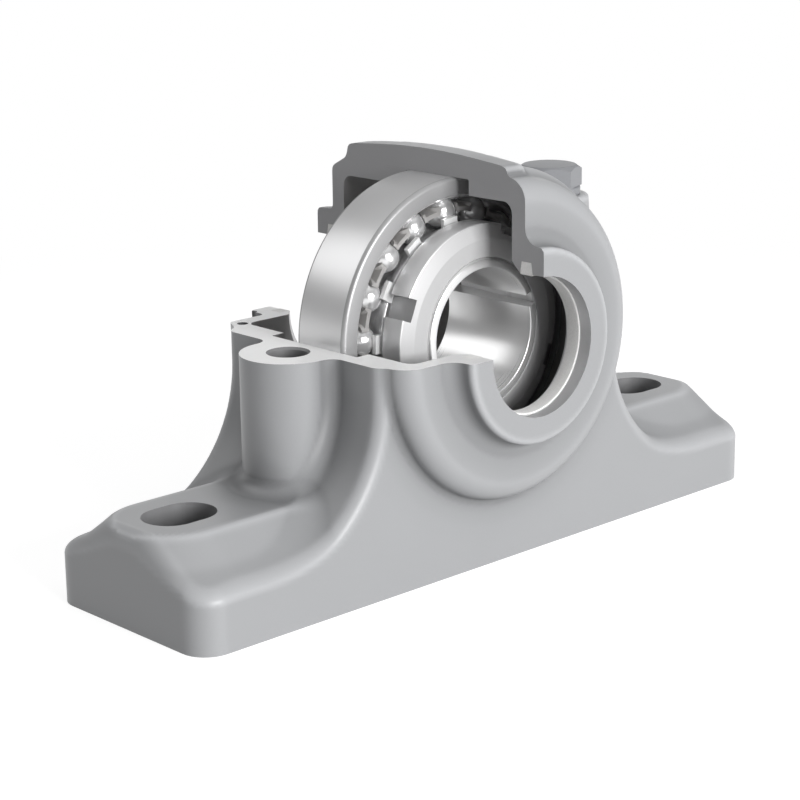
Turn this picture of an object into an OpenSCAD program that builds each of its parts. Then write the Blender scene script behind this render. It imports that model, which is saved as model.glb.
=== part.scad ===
// Split plummer block, cut open to show its bearing.
// X runs along the base, Y along the shaft, Z up from the underside.
// The origin lies under the middle of the base. The near side is -Y.

/* [Base casting] */
// Length of the base over both feet
base_length = 205; // [195:1:225]
// Width of the base across the feet
base_width = 60; // [56:1:62]
// Height of the shaft axis over the underside
centre_height = 60; // [58:1:66]
// Height of a foot at its flat top
foot_height = 25.5; // [22:0.5:28]
// Height of a foot at its outer edge
foot_edge_height = 14; // [10:1:17]
// Width of the flat pad along the top of a foot, round about the slot at its end
foot_pad_width = 30; // [26:0.5:34]
// Rounding along the upper edges of the body
casting_edge = 4; // [2:0.5:5]
// Radius of the shallow hollow in the slope round the pad of a foot
slope_hollow_radius = 42; // [30:1:200]
// Rounding of the four corners, seen from above
corner_radius = 7.5; // [4:0.5:12]
// Radius of the sweep from the outer edge up to the body
sweep_radius = 38; // [30:1:42]
// Distance from the middle of a foot slot to the end of the base
slot_to_end = 17.5; // [16:0.5:20]
// Width of a foot slot
slot_width = 15; // [12:0.5:17]
// Length of a foot slot over its round ends
slot_length = 20; // [18:0.5:26]
// Length of the hollow in the underside
relief_length = 84; // [60:1:110]
// Width of the hollow in the underside
relief_width = 36; // [28:1:42]
// Depth of the hollow in the underside
relief_depth = 8; // [4:0.5:10]

/* [Round housing] */
// Diameter of the bearing seat
seat_d = 80; // [79:0.5:81]
// Width of the bearing seat
seat_width = 33; // [32:0.5:35]
// Wall of the casting round the seat at the joint
seat_wall = 4.5; // [4:0.1:6]
// Step from the seat down to the grease pockets
seat_shoulder = 4.2; // [3:0.1:4.6]
// Width over the two end walls
drum_width = 73; // [71:0.5:76]
// Thickness of an end wall
end_wall = 4.6; // [4:0.1:5.5]
// Radius of the round end walls
drum_radius = 42.2; // [41:0.1:43]
// Rounding at the rim of an end wall
drum_edge = 6; // [2:0.5:6]
// Rounding in the corner of a grease pocket
pocket_edge = 3; // [1:0.5:4]
// Width over the two seal bosses
boss_width = 86; // [84:1:90]
// Radius of a seal boss
boss_radius = 25.6; // [25:0.1:27]
// Fillet between a seal boss and its end wall
boss_fillet = 4.4; // [1:0.1:5]
// Rounding at the rim of a seal boss
boss_edge = 1.5; // [0.5:0.1:2]
// Diameter of the seal bores
seal_bore_d = 36.5; // [36:0.1:37.5]
// Distance of a seal groove's middle from the middle of the housing
groove_offset = 37; // [36.5:0.1:37.5]
// Width of a seal groove at its mouth
groove_mouth = 4.4; // [4:0.1:5]
// Width of a seal groove at its root
groove_root = 3.4; // [3:0.1:4]
// Depth of a seal groove
groove_depth = 3; // [2:0.1:3.5]
// Length of the bevel inside a seal bore
bore_bevel = 2.6; // [1.5:0.1:2.8]

/* [Cap] */
// Height of the arched pad on top of the cap over the shaft axis
crest_height = 46.5; // [45.5:0.1:48]
// Width of the arched pad
crest_width = 14; // [8:1:20]
// Radius of the arch along the shaft
crest_arch_radius = 220; // [150:10:400]
// Distance between the two cap bolts
bolt_spacing = 97; // [96:0.5:100]
// Diameter of a cap bolt column at the joint
column_d = 25; // [23:0.5:27]
// Diameter of a cap bolt column at the bolt seat
column_top_d = 22; // [20:0.5:23]
// Upright fillet between a column and the body
column_fillet = 5; // [2:0.5:6]
// Fillet round the foot of a column
column_foot_fillet = 3.5; // [1:0.5:5]
// Height of the bolt seat over the joint
bolt_seat_height = 28.3; // [26:0.1:30]
// Width of the web between the bolt column and the cap
column_web = 18; // [12:1:22]
// Diameter of the dowel pins
dowel_d = 3; // [2:0.5:3.5]
// Length of a dowel pin
dowel_length = 12; // [8:1:16]

/* [Cap bolt] */
// Diameter of the cap bolt
bolt_d = 10; // [8:1:10]
// Width across the flats of the head
bolt_flats = 16; // [14:0.5:17]
// Height of the head
bolt_head = 6; // [5:0.1:8]
// Length of the bolt under its head
bolt_length = 50; // [44:1:54]
// Thickness of the spring washer
washer_height = 2.2; // [1.5:0.1:3]
// Diameter of the spring washer
washer_d = 17.4; // [16.5:0.1:18.5]

/* [Bearing] */
// Width of the bearing
bearing_width = 18; // [17:0.5:19]
// Place of the bearing's middle along the shaft
bearing_place = -2.5; // [-4:0.5:0]
// Diameter of a ball
ball_d = 8.731; // [8.2:0.1:8.8]
// Radius of the circle through the ball centres
ball_circle_radius = 30.8; // [30.6:0.1:31]
// Distance of a ball row from the bearing's middle
ball_row_offset = 4.6; // [4.5:0.1:4.8]
// Balls in a row
balls_in_row = 17; // [14:1:18]
// Place of the first front ball round the shaft
first_ball_angle = 72; // [0:1:360]
// Radius of the inner ring's shoulders
inner_shoulder_radius = 26.9; // [26.6:0.1:27.4]
// Radius of the rib between the ball tracks
inner_rib_radius = 28; // [27.5:0.1:28.5]
// Width of the cage
cage_width = 16.4; // [14:0.2:17]
// Thickness of the cage's sheet
cage_sheet = 1.2; // [0.8:0.1:1.5]

/* [Adapter sleeve] */
// Diameter of the shaft that the sleeve clamps
shaft_d = 35; // [34:0.5:35.5]
// Diameter of the sleeve's thread and of its small end
thread_d = 40; // [39.5:0.5:40.5]
// Length of the sleeve
sleeve_length = 31; // [30:1:34]
// How far the sleeve stands out of the nut
sleeve_stand = 0.5; // [0:0.1:2]
// Width of the slit along the sleeve
slit_width = 3.6; // [3:0.1:4.5]
// Place of the slit round the shaft
slit_angle = 20.5; // [0:0.5:60]

/* [Lock nut and washer] */
// Diameter of the nut
nut_d = 58; // [56:0.5:59]
// Width of the nut
nut_width = 9; // [8:0.5:10]
// Diameter of the nut's front face inside its bevel
nut_face_d = 50; // [48:0.5:52]
// Width of a nut slot
nut_slot_width = 6; // [5:0.1:7]
// Depth of a nut slot
nut_slot_depth = 2.5; // [2:0.1:3]
// Nut slots
nut_slots = 4; // [4:1:6]
// Place of the first nut slot round the shaft
nut_slot_angle = 68; // [0:1:90]
// Thickness of the tab washer
tab_sheet = 1.25; // [1:0.05:1.5]
// Tabs round the tab washer
tabs = 13; // [9:2:17]
// Width of a tab
tab_width = 4.9; // [4:0.1:5.4]
// Radius over the tabs
tab_radius = 30; // [28.6:0.1:30.2]
// Radius at the root of the tabs
tab_root_radius = 25; // [24:0.1:26]

/* [Locating ring and seals] */
// Place of the first end of the open locating ring round the shaft
ring_gap_start_angle = 180; // [170:1:200]
// Angle of the gap in the locating ring
ring_gap_angle = 50; // [20:1:80]
// How far a felt strip stands into its seal bore
felt_stand = 0.4; // [0.2:0.05:0.45]

/* [Hidden] */
$fn = 96;

// Clearances
fit_clearance = 0.02;
thread_clearance = 0.05;
felt_clearance = 0.05;
ball_clearance = 0.1;
pocket_clearance = 0.25;
bolt_clearance = 0.5;
washer_clearance = 0.3;
tab_clearance = 0.3;

// Small edges and overlaps
cut = 1;
far = 2 * base_length;
hole_bevel = 0.6;
ring_edge = 1.1;
inner_ring_edge = 0.8;
nut_back_edge = 1.4;
nut_bevel_length = 1.25;
thread_edge = 0.8;
pin_edge = 0.3;
head_edge = 1.2;
head_turn = 22.5;
washer_split = 0.6;
washer_split_angle = 150;
relief_corner = 8;
web_step = 1;
thread_reach = 26;
notch_radius = 1.2;
notch_depth = 6;

// The sleeve's taper is 1 in 12 on the diameter
taper = 1 / 24;

// Radii and places worked out from the sizes above
seat_r = seat_d / 2;
shaft_r = shaft_d / 2;
thread_r = thread_d / 2;
ball_r = ball_d / 2;
seal_r = seal_bore_d / 2;
bolt_r = bolt_d / 2;
dowel_r = dowel_d / 2;
body_half = seat_r + seat_wall;
pocket_r = seat_r - seat_shoulder;
pocket_half = drum_width / 2 - end_wall;
slot_x = base_length / 2 - slot_to_end;
bolt_x = bolt_spacing / 2;
column_r = column_d / 2;
sweep_x = body_half + sweep_radius;
sweep_z = foot_edge_height + sweep_radius;
bolt_seat_z = centre_height + bolt_seat_height;
head_z = bolt_seat_z + washer_height;
dowel_x = pocket_r + dowel_r / 2;
dowel_y = pocket_half + dowel_r / 2;
notch_y = boss_width / 2 - boss_edge;
sphere_r = sqrt(pow(ball_circle_radius, 2) + pow(ball_row_offset, 2)) + ball_r + ball_clearance;
track_r = ball_r + ball_clearance;
cage_inner_r = ball_circle_radius + cage_sheet;
cage_pocket_r = ball_r + pocket_clearance;
ball_pitch = 360 / balls_in_row;
bearing_front = bearing_place - bearing_width / 2;
bearing_back = bearing_place + bearing_width / 2;
nut_back = bearing_front - tab_sheet;
nut_front = nut_back - nut_width;
sleeve_front = nut_front - sleeve_stand;
sleeve_back = sleeve_front + sleeve_length;
slot_floor_r = nut_d / 2 - nut_slot_depth;

function taper_radius(y) = thread_r + (y - bearing_front) * taper;

function unit(v) = v / norm(v);

// Point at distance ra from a and rb from b, on the left of the way from a to b
function meeting_point(a, ra, b, rb) =
    let (d = norm(b - a), u = (b - a) / d, along = (d * d + ra * ra - rb * rb) / (2 * d))
        a + u * along + [-u.y, u.x] * sqrt(ra * ra - along * along);

// Lays a shape that stands on Z along the shaft, so that its Z runs to +Y
module on_shaft(y = 0) {
    translate([0, y, centre_height])
        rotate([-90, 0, 0])
            children();
}

// Turns a shape on the shaft by an angle counted from +X towards +Z
module around(angle) {
    rotate([0, 0, -angle])
        children();
}

// Outline in X and Z, made as thick as its width along Y
module along_y(width) {
    rotate([90, 0, 0])
        linear_extrude(width, center = true)
            children();
}

// Outline in Y and Z, made as long as its length along X
module along_x(length) {
    rotate([90, 0, 90])
        linear_extrude(length, center = true)
            children();
}

module below_joint() {
    intersection() {
        children();
        translate([-far / 2, -far / 2, centre_height - far])
            cube([far, far, far]);
    }
}

module above_joint() {
    intersection() {
        children();
        translate([-far / 2, -far / 2, centre_height])
            cube([far, far, far]);
    }
}

// Keeps the half that the cap's cut leaves
module right_of_cut() {
    intersection() {
        children();
        translate([0, -far / 2, -far / 2])
            cube([far, far, far]);
    }
}

module rounded_plate(length, width, radius, height) {
    linear_extrude(height) {
        square([length - 2 * radius, width], center = true);
        square([length, width - 2 * radius], center = true);
        for (sx = [-1, 1], sy = [-1, 1])
            translate([sx * (length / 2 - radius), sy * (width / 2 - radius)])
                circle(r = radius);
    }
}

module both_sides() {
    children();
    mirror([1, 0, 0])
        children();
}

// Flat pad and hollow slope of a foot, from the pad's middle outwards
module slope_section() {
    half = base_width / 2;
    edge = [foot_pad_width / 2, foot_height];
    rim = [half, foot_edge_height];
    difference() {
        square([half + corner_radius, foot_height]);
        translate(meeting_point(edge, slope_hollow_radius, rim, slope_hollow_radius))
            circle(r = slope_hollow_radius);
    }
}

// The slope runs along both sides and turns round the end of the pad
module feet() {
    pad_x = slot_x + (slot_length - slot_width) / 2;
    intersection() {
        union() {
            along_x(2 * pad_x)
                both_sides()
                    slope_section();
            both_sides()
                translate([pad_x, 0, 0])
                    intersection() {
                        rotate_extrude()
                            slope_section();
                        translate([0, -far / 2, -cut])
                            cube([far, far, far]);
                    }
        }
        rounded_plate(base_length, base_width, corner_radius, centre_height);
    }
}

// Section of the sweep's cutter: its rims flare, which rounds the body's edges
module flared_section() {
    translate([0, -base_width / 2 - cut])
        square([sweep_radius, base_width + 2 * cut]);
    for (end = [0, 1])
        mirror([0, end])
            difference() {
                translate([sweep_radius, base_width / 2 - casting_edge])
                    square([casting_edge, casting_edge + cut]);
                translate([sweep_radius + casting_edge, base_width / 2 - casting_edge])
                    circle(r = casting_edge);
            }
}

// Block whose two sides sweep out in round hollows to the rim of the feet
module swept_body() {
    difference() {
        translate([-sweep_x, -base_width / 2, 0])
            cube([2 * sweep_x, base_width, centre_height]);
        both_sides()
            translate([sweep_x, 0, sweep_z]) {
                rotate([-90, 0, 0])
                    rotate_extrude()
                        flared_section();
                mirror([1, 0, 0])
                    linear_extrude(far)
                        flared_section();
            }
    }
}

// Column plan at the right side, with a fillet to the body's wall on both sides
module column_plan() {
    wall = body_half - bolt_x;
    fillet_x = wall + column_fillet;
    fillet_y = sqrt(pow(column_r + column_fillet, 2) - pow(fillet_x, 2));
    circle(r = column_r);
    for (end = [0, 1])
        mirror([0, end])
            difference() {
                polygon([[wall - cut, 0], [0, 0], [fillet_x, fillet_y], [wall - cut, fillet_y]]);
                translate([fillet_x, fillet_y])
                    circle(r = column_fillet);
            }
}

// Ring that fills the corner between a column and the foot's flat top
module column_foot() {
    rotate_extrude()
        difference() {
            translate([0, -column_foot_fillet])
                square([column_r + column_foot_fillet, 2 * column_foot_fillet]);
            translate([column_r + column_foot_fillet, column_foot_fillet])
                circle(r = column_foot_fillet);
        }
}

// Half section of a disc with rounded rims, for turning round the shaft
module rounded_disc(radius, width, edge) {
    translate([0, -width / 2])
        square([radius - edge, width]);
    translate([0, edge - width / 2])
        square([radius, width - 2 * edge]);
    for (side = [-1, 1])
        translate([radius - edge, side * (width / 2 - edge)])
            circle(r = edge);
}

module positive_side() {
    intersection() {
        children();
        translate([0, -far / 2])
            square([far, far]);
    }
}

// End walls and seal bosses, whole round the shaft
module drum() {
    rotate_extrude()
        positive_side() {
            rounded_disc(drum_radius, drum_width, drum_edge);
            rounded_disc(boss_radius, boss_width, boss_edge);
            for (side = [-1, 1])
                translate([0, side * drum_width / 2])
                    difference() {
                        square([2 * (boss_radius + boss_fillet), 2 * boss_fillet], center = true);
                        translate([boss_radius + boss_fillet, side * boss_fillet])
                            circle(r = boss_fillet);
                    }
        }
}

// Everything turned out of the castings: seat, pockets, seal bores and grooves
module turned_space() {
    rotate_extrude()
        positive_side() {
            square([2 * seat_r, seat_width], center = true);
            rounded_disc(pocket_r, 2 * pocket_half, pocket_edge);
            square([2 * seal_r, boss_width + 2 * cut], center = true);
            for (side = [-1, 1]) {
                polygon([
                    [0, side * (pocket_half - cut)],
                    [seal_r + bore_bevel + cut, side * (pocket_half - cut)],
                    [seal_r + bore_bevel, side * pocket_half],
                    [seal_r, side * (pocket_half + bore_bevel)],
                    [0, side * (pocket_half + bore_bevel)]
                ]);
                groove_outline(side, 0, 0);
            }
        }
}

// Trapezoid of a seal groove; felt is the same outline, smaller all round
module groove_outline(side, inset, stand) {
    root_r = seal_r + groove_depth - inset;
    mouth_r = seal_r - stand;
    polygon([
        [mouth_r, side * groove_offset - groove_mouth / 2 + inset],
        [seal_r, side * groove_offset - groove_mouth / 2 + inset],
        [root_r, side * groove_offset - groove_root / 2 + inset],
        [root_r, side * groove_offset + groove_root / 2 - inset],
        [seal_r, side * groove_offset + groove_mouth / 2 - inset],
        [mouth_r, side * groove_offset + groove_mouth / 2 - inset]
    ]);
}

module foot_slot() {
    reach = (slot_length - slot_width) / 2;
    translate([0, 0, -cut])
        linear_extrude(foot_height + sweep_radius) {
            square([2 * reach, slot_width], center = true);
            for (end = [-1, 1])
                translate([end * reach, 0])
                    circle(d = slot_width);
        }
}

// Feet and body under the joint, before anything is cut out
module base_block() {
    feet();
    swept_body();
    both_sides()
        translate([bolt_x, 0, 0]) {
            linear_extrude(centre_height)
                column_plan();
            translate([0, 0, foot_height])
                column_foot();
        }
    below_joint()
        on_shaft()
            drum();
}

module housing_base() {
    color([0.62, 0.63, 0.64])
        difference() {
            base_block();
            on_shaft()
                turned_space();
            for (side = [-1, 1]) {
                translate([side * slot_x, 0, 0])
                    foot_slot();
                translate([side * bolt_x, 0, centre_height - thread_reach])
                    cylinder(r = bolt_r + thread_clearance, h = thread_reach + cut);
                translate([side * bolt_x, 0, centre_height - hole_bevel])
                    cylinder(r1 = bolt_r, r2 = bolt_r + 2 * hole_bevel, h = 2 * hole_bevel);
                translate([side * dowel_x, -side * dowel_y, centre_height - dowel_length / 2 - pin_edge])
                    cylinder(r = dowel_r + fit_clearance, h = dowel_length);
            }
            translate([0, 0, -cut])
                rounded_plate(relief_length, relief_width, relief_corner, relief_depth + cut);
            translate([-boss_radius, notch_y, centre_height - notch_depth])
                cylinder(r = notch_radius, h = notch_depth + cut);
        }
}

module cap_block() {
    on_shaft() {
        drum();
        rotate_extrude()
            positive_side()
                rounded_disc(body_half, base_width, casting_edge);
    }
    translate([0, 0, centre_height])
        along_x(crest_width)
            intersection() {
                translate([-base_width / 2, 0])
                    square([base_width, 2 * crest_height]);
                translate([0, crest_height - crest_arch_radius])
                    circle(r = crest_arch_radius, $fn = 4 * $fn);
            }
    translate([bolt_x, 0, centre_height])
        cylinder(d1 = column_d, d2 = column_top_d, h = bolt_seat_height);
    translate([0, -column_web / 2, centre_height])
        cube([bolt_x, column_web, bolt_seat_height - web_step]);
}

module housing_cap() {
    color([0.6, 0.61, 0.62])
        right_of_cut()
            above_joint()
                difference() {
                    cap_block();
                    on_shaft()
                        turned_space();
                    translate([bolt_x, 0, centre_height - cut])
                        cylinder(r = bolt_r + bolt_clearance, h = bolt_seat_height + 2 * cut);
                    translate([dowel_x, -dowel_y, centre_height - cut])
                        cylinder(r = dowel_r + fit_clearance, h = cut + dowel_length / 2 + pin_edge);
                }
}

module cap_bolt() {
    color([0.66, 0.67, 0.68])
        translate([bolt_x, 0, head_z]) {
            intersection() {
                rotate([0, 0, head_turn])
                    cylinder(d = bolt_flats / cos(30), h = bolt_head, $fn = 6);
                union() {
                    cylinder(d = far, h = bolt_head - head_edge);
                    translate([0, 0, bolt_head - head_edge])
                        cylinder(r1 = bolt_flats / 2 + head_edge, r2 = bolt_flats / 2 - head_edge,
                                 h = head_edge);
                }
            }
            translate([0, 0, thread_edge - bolt_length])
                cylinder(r = bolt_r, h = bolt_length);
            translate([0, 0, -bolt_length])
                cylinder(r1 = bolt_r - thread_edge, r2 = bolt_r, h = thread_edge);
        }
}

module spring_washer() {
    color([0.5, 0.51, 0.53])
        translate([bolt_x, 0, bolt_seat_z])
            difference() {
                cylinder(d = washer_d, h = washer_height);
                translate([0, 0, -cut])
                    cylinder(r = bolt_r + washer_clearance, h = washer_height + 2 * cut);
                rotate([0, 0, washer_split_angle])
                    translate([0, -washer_split / 2, -cut])
                        cube([washer_d, washer_split, washer_height + 2 * cut]);
            }
}

module dowel_pin() {
    color([0.72, 0.73, 0.74])
        translate([dowel_x, -dowel_y, centre_height - dowel_length / 2]) {
            cylinder(r1 = dowel_r - pin_edge, r2 = dowel_r, h = pin_edge);
            translate([0, 0, pin_edge])
                cylinder(r = dowel_r, h = dowel_length - 2 * pin_edge);
            translate([0, 0, dowel_length - pin_edge])
                cylinder(r1 = dowel_r, r2 = dowel_r - pin_edge, h = pin_edge);
        }
}

// Open ring between the bearing's back face and the seat's back shoulder
module locating_ring() {
    gap_middle = ring_gap_start_angle + ring_gap_angle / 2;
    gap_end = ring_gap_start_angle + ring_gap_angle;
    color([0.5, 0.51, 0.52])
        on_shaft(bearing_back)
            difference() {
                cylinder(r = seat_r - fit_clearance, h = seat_width / 2 - bearing_back);
                translate([0, 0, -cut])
                    cylinder(r = pocket_r, h = seat_width);
                linear_extrude(2 * seat_width, center = true)
                    polygon([
                        [0, 0],
                        [far * cos(gap_end), -far * sin(gap_end)],
                        [far * cos(gap_middle), -far * sin(gap_middle)],
                        [-far, 0],
                        [-far, -far],
                        [0, -far]
                    ]);
            }
}

module seal_strip(side) {
    color([0.93, 0.92, 0.88])
        on_shaft()
            rotate_extrude()
                groove_outline(side, felt_clearance, felt_stand);
}

module seal_strip_front_lower() {
    below_joint()
        seal_strip(-1);
}

module seal_strip_front_upper() {
    right_of_cut()
        above_joint()
            seal_strip(-1);
}

module seal_strip_back_lower() {
    below_joint()
        seal_strip(1);
}

module seal_strip_back_upper() {
    right_of_cut()
        above_joint()
            seal_strip(1);
}

module outer_ring() {
    half = bearing_width / 2;
    outer_r = seat_r - fit_clearance;
    color([0.75, 0.76, 0.77])
        on_shaft(bearing_place)
            difference() {
                rotate_extrude()
                    polygon([
                        [ball_circle_radius, -half],
                        [outer_r - ring_edge, -half],
                        [outer_r, ring_edge - half],
                        [outer_r, half - ring_edge],
                        [outer_r - ring_edge, half],
                        [ball_circle_radius, half]
                    ]);
                sphere(r = sphere_r);
            }
}

module inner_ring() {
    half = bearing_width / 2;
    color([0.75, 0.76, 0.77])
        on_shaft(bearing_place)
            rotate_extrude()
                difference() {
                    union() {
                        polygon([
                            [taper_radius(bearing_front) + fit_clearance, -half],
                            [inner_shoulder_radius - inner_ring_edge, -half],
                            [inner_shoulder_radius, inner_ring_edge - half],
                            [inner_shoulder_radius, half - inner_ring_edge],
                            [inner_shoulder_radius - inner_ring_edge, half],
                            [taper_radius(bearing_back) + fit_clearance, half]
                        ]);
                        translate([inner_shoulder_radius - cut, -ball_row_offset / 2])
                            square([inner_rib_radius - inner_shoulder_radius + cut, ball_row_offset]);
                    }
                    for (row = [-1, 1])
                        translate([ball_circle_radius, row * ball_row_offset])
                            circle(r = track_r);
                }
}

// One row of balls; the back row stands half a pitch behind the front row
module ball_places(row) {
    start = first_ball_angle + (row > 0 ? ball_pitch / 2 : 0);
    for (i = [0 : balls_in_row - 1])
        around(start + i * ball_pitch)
            translate([ball_circle_radius, 0, row * ball_row_offset])
                children();
}

module balls_front_row() {
    color([0.85, 0.86, 0.87])
        on_shaft(bearing_place)
            ball_places(-1)
                sphere(r = ball_r);
}

module balls_back_row() {
    color([0.85, 0.86, 0.87])
        on_shaft(bearing_place)
            ball_places(1)
                sphere(r = ball_r);
}

// Pressed ring with a round pocket for each ball, open at both sides
module cage() {
    color([0.45, 0.44, 0.43])
        on_shaft(bearing_place)
            difference() {
                intersection() {
                    sphere(r = cage_inner_r + cage_sheet);
                    cylinder(r = seat_r, h = cage_width, center = true);
                }
                sphere(r = cage_inner_r);
                for (row = [-1, 1])
                    ball_places(row)
                        sphere(r = cage_pocket_r);
            }
}

module adapter_sleeve() {
    color([0.8, 0.8, 0.8])
        on_shaft()
            difference() {
                rotate_extrude()
                    polygon([
                        [shaft_r, sleeve_front],
                        [thread_r - thread_edge, sleeve_front],
                        [thread_r, sleeve_front + thread_edge],
                        [thread_r, bearing_front],
                        [taper_radius(sleeve_back), sleeve_back],
                        [shaft_r, sleeve_back]
                    ]);
                around(slit_angle)
                    translate([0, -slit_width / 2, sleeve_front - cut])
                        cube([2 * thread_r, slit_width, sleeve_length + 2 * cut]);
            }
}

module lock_nut() {
    nut_r = nut_d / 2;
    bore_r = thread_r + thread_clearance;
    color([0.7, 0.71, 0.72])
        on_shaft()
            difference() {
                rotate_extrude()
                    polygon([
                        [bore_r + thread_edge, nut_front],
                        [nut_face_d / 2, nut_front],
                        [nut_r, nut_front + nut_bevel_length],
                        [nut_r, nut_back - nut_back_edge],
                        [nut_r - nut_back_edge, nut_back],
                        [bore_r, nut_back],
                        [bore_r, nut_front + thread_edge]
                    ]);
                for (i = [0 : nut_slots - 1])
                    around(nut_slot_angle + i * 360 / nut_slots)
                        translate([slot_floor_r, -nut_slot_width / 2, nut_front - cut])
                            cube([nut_d, nut_slot_width, nut_width + 2 * cut]);
            }
}

// The first tab lies in a nut slot, bent over the slot's floor
module lock_washer() {
    bend_r = slot_floor_r + tab_clearance;
    color([0.78, 0.79, 0.8])
        on_shaft(nut_back) {
            linear_extrude(tab_sheet)
                difference() {
                    union() {
                        circle(r = tab_root_radius);
                        for (i = [1 : tabs - 1])
                            around(nut_slot_angle + i * 360 / tabs)
                                translate([0, -tab_width / 2])
                                    square([tab_radius, tab_width]);
                        around(nut_slot_angle)
                            translate([0, -tab_width / 2])
                                square([bend_r + tab_sheet, tab_width]);
                    }
                    difference() {
                        circle(r = thread_r + tab_clearance);
                        around(slit_angle)
                            translate([shaft_r + tab_clearance, -slit_width / 2 + tab_clearance])
                                square([thread_r, slit_width - 2 * tab_clearance]);
                    }
                }
            around(nut_slot_angle)
                translate([bend_r, -tab_width / 2, -nut_width / 2])
                    cube([tab_sheet, tab_width, nut_width / 2 + tab_sheet / 2]);
        }
}

housing_base();
housing_cap();
cap_bolt();
spring_washer();
dowel_pin();
locating_ring();
seal_strip_front_lower();
seal_strip_front_upper();
seal_strip_back_lower();
seal_strip_back_upper();
outer_ring();
inner_ring();
balls_front_row();
balls_back_row();
cage();
adapter_sleeve();
lock_nut();
lock_washer();
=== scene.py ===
# %% [markdown]
# A split plummer block, cut open
#
# The block is two iron castings round a self-aligning ball bearing. The left half
# of the cap is cut away, so the bearing, its tapered sleeve, its nut and its tab
# washer stand open to view. The measured solids are loaded first and give every
# piece its place. Each step below then dresses one of them.

# %% Load the measured frame
import math

import bmesh
import bpy
import numpy as np
from mathutils import Matrix, Vector


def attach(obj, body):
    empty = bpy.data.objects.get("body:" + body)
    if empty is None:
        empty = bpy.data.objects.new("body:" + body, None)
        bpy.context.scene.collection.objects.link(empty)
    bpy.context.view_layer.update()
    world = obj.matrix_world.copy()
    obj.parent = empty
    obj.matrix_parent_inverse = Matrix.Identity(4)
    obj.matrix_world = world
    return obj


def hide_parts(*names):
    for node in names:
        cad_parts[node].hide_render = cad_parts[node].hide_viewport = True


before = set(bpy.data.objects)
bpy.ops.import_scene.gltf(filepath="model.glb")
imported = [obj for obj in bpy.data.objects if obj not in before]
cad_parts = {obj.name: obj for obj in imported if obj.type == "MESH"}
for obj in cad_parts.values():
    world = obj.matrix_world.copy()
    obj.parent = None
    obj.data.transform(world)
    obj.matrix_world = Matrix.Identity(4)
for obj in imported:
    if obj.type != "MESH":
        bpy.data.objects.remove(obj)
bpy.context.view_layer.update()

# %% [markdown]
# Blender counts in metres, and a drawing of a bearing counts in millimetres. Numbers
# such as 0.0175 are hard to check, so lengths below are written in millimetres and are
# turned into metres in one place. The shaft runs along Y at a height of 60 mm, and an
# angle round it is counted from +X towards +Z.

# %% Units and the shaft's place
MM = 0.001
SHAFT_HEIGHT = 60.0
scene = bpy.context.scene


def on_shaft(radius, along, angle):
    """Point at a radius and an angle in degrees round the shaft."""
    turn = math.radians(angle)
    return (radius * math.cos(turn), along, SHAFT_HEIGHT + radius * math.sin(turn))


print("shaft line", SHAFT_HEIGHT, "mm above the floor")

# %% [markdown]
# The camera comes before any shape, because each shape is compared with the
# photograph from it. It stands in front on the left, a little above the block, and
# looks through a long lens, so that the far foot hardly shrinks. Its place was found by
# laying the known sizes of the block over the picture, which is surer than by eye.

# %% Camera at the photograph's angle
AZIMUTH, ELEVATION, ROLL = (math.radians(v) for v in (43.332433, 15.449786, -0.642925))
AIM = Vector((-9.7075, 0.0, 39.7259)) * MM
DISTANCE = 0.575399
FRAME_WIDTH_PX, FOCAL_PX = 800, 2148.24

back = Vector((-math.sin(AZIMUTH) * math.cos(ELEVATION),
               -math.cos(AZIMUTH) * math.cos(ELEVATION), math.sin(ELEVATION)))
level_right = Vector((math.cos(AZIMUTH), -math.sin(AZIMUTH), 0.0))
level_up = back.cross(level_right)
right = math.cos(ROLL) * level_right + math.sin(ROLL) * level_up
up = math.cos(ROLL) * level_up - math.sin(ROLL) * level_right

camera_data = bpy.data.cameras.new("camera")
camera_data.sensor_width = 36.0
camera_data.lens = camera_data.sensor_width * FOCAL_PX / FRAME_WIDTH_PX
camera_data.clip_start, camera_data.clip_end = 0.02, 50.0
camera = bpy.data.objects.new("camera", camera_data)
scene.collection.objects.link(camera)
turned = Matrix((right, up, back)).transposed().to_4x4()
camera.matrix_world = Matrix.Translation(AIM + back * DISTANCE) @ turned
scene.camera = camera
scene.view_settings.view_transform = "Standard"
print("lens", round(camera_data.lens, 2), "mm")

# %% [markdown]
# The studio is a pale floor, a soft grey room and three panels. Lamps alone would give
# hard shade, so most of the light is a glow that fills the room, and it is graded. It
# is dim at the left, which keeps the faces on that side in shade, and brightest
# overhead, which turns the milled joint face nearly white. One ramp grades it by
# height and one from side to side, and the two are multiplied.

# %% Helpers for node trees


def link_nodes(tree, *pairs):
    """Links each pair of sockets, from the first to the second."""
    for source, target in pairs:
        tree.links.new(source, target)


def ramp_node(tree, tones):
    """Ramp of grey tones, given as (place, tone)."""
    ramp = tree.nodes.new("ShaderNodeValToRGB")
    while len(ramp.color_ramp.elements) < len(tones):
        ramp.color_ramp.elements.new(0.5)
    for element, (place, tone) in zip(ramp.color_ramp.elements, tones):
        element.position = place
        element.color = (tone, tone, tone, 1.0)
    return ramp


# %% Room
UP_TONES = ((0.0, 0.40), (0.49, 0.42), (0.56, 0.42), (0.66, 0.31), (0.80, 0.28),
            (0.90, 0.75), (1.0, 0.92))
SIDE_TONES = ((0.0, 0.36), (0.5, 0.86), (1.0, 0.9))

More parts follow.
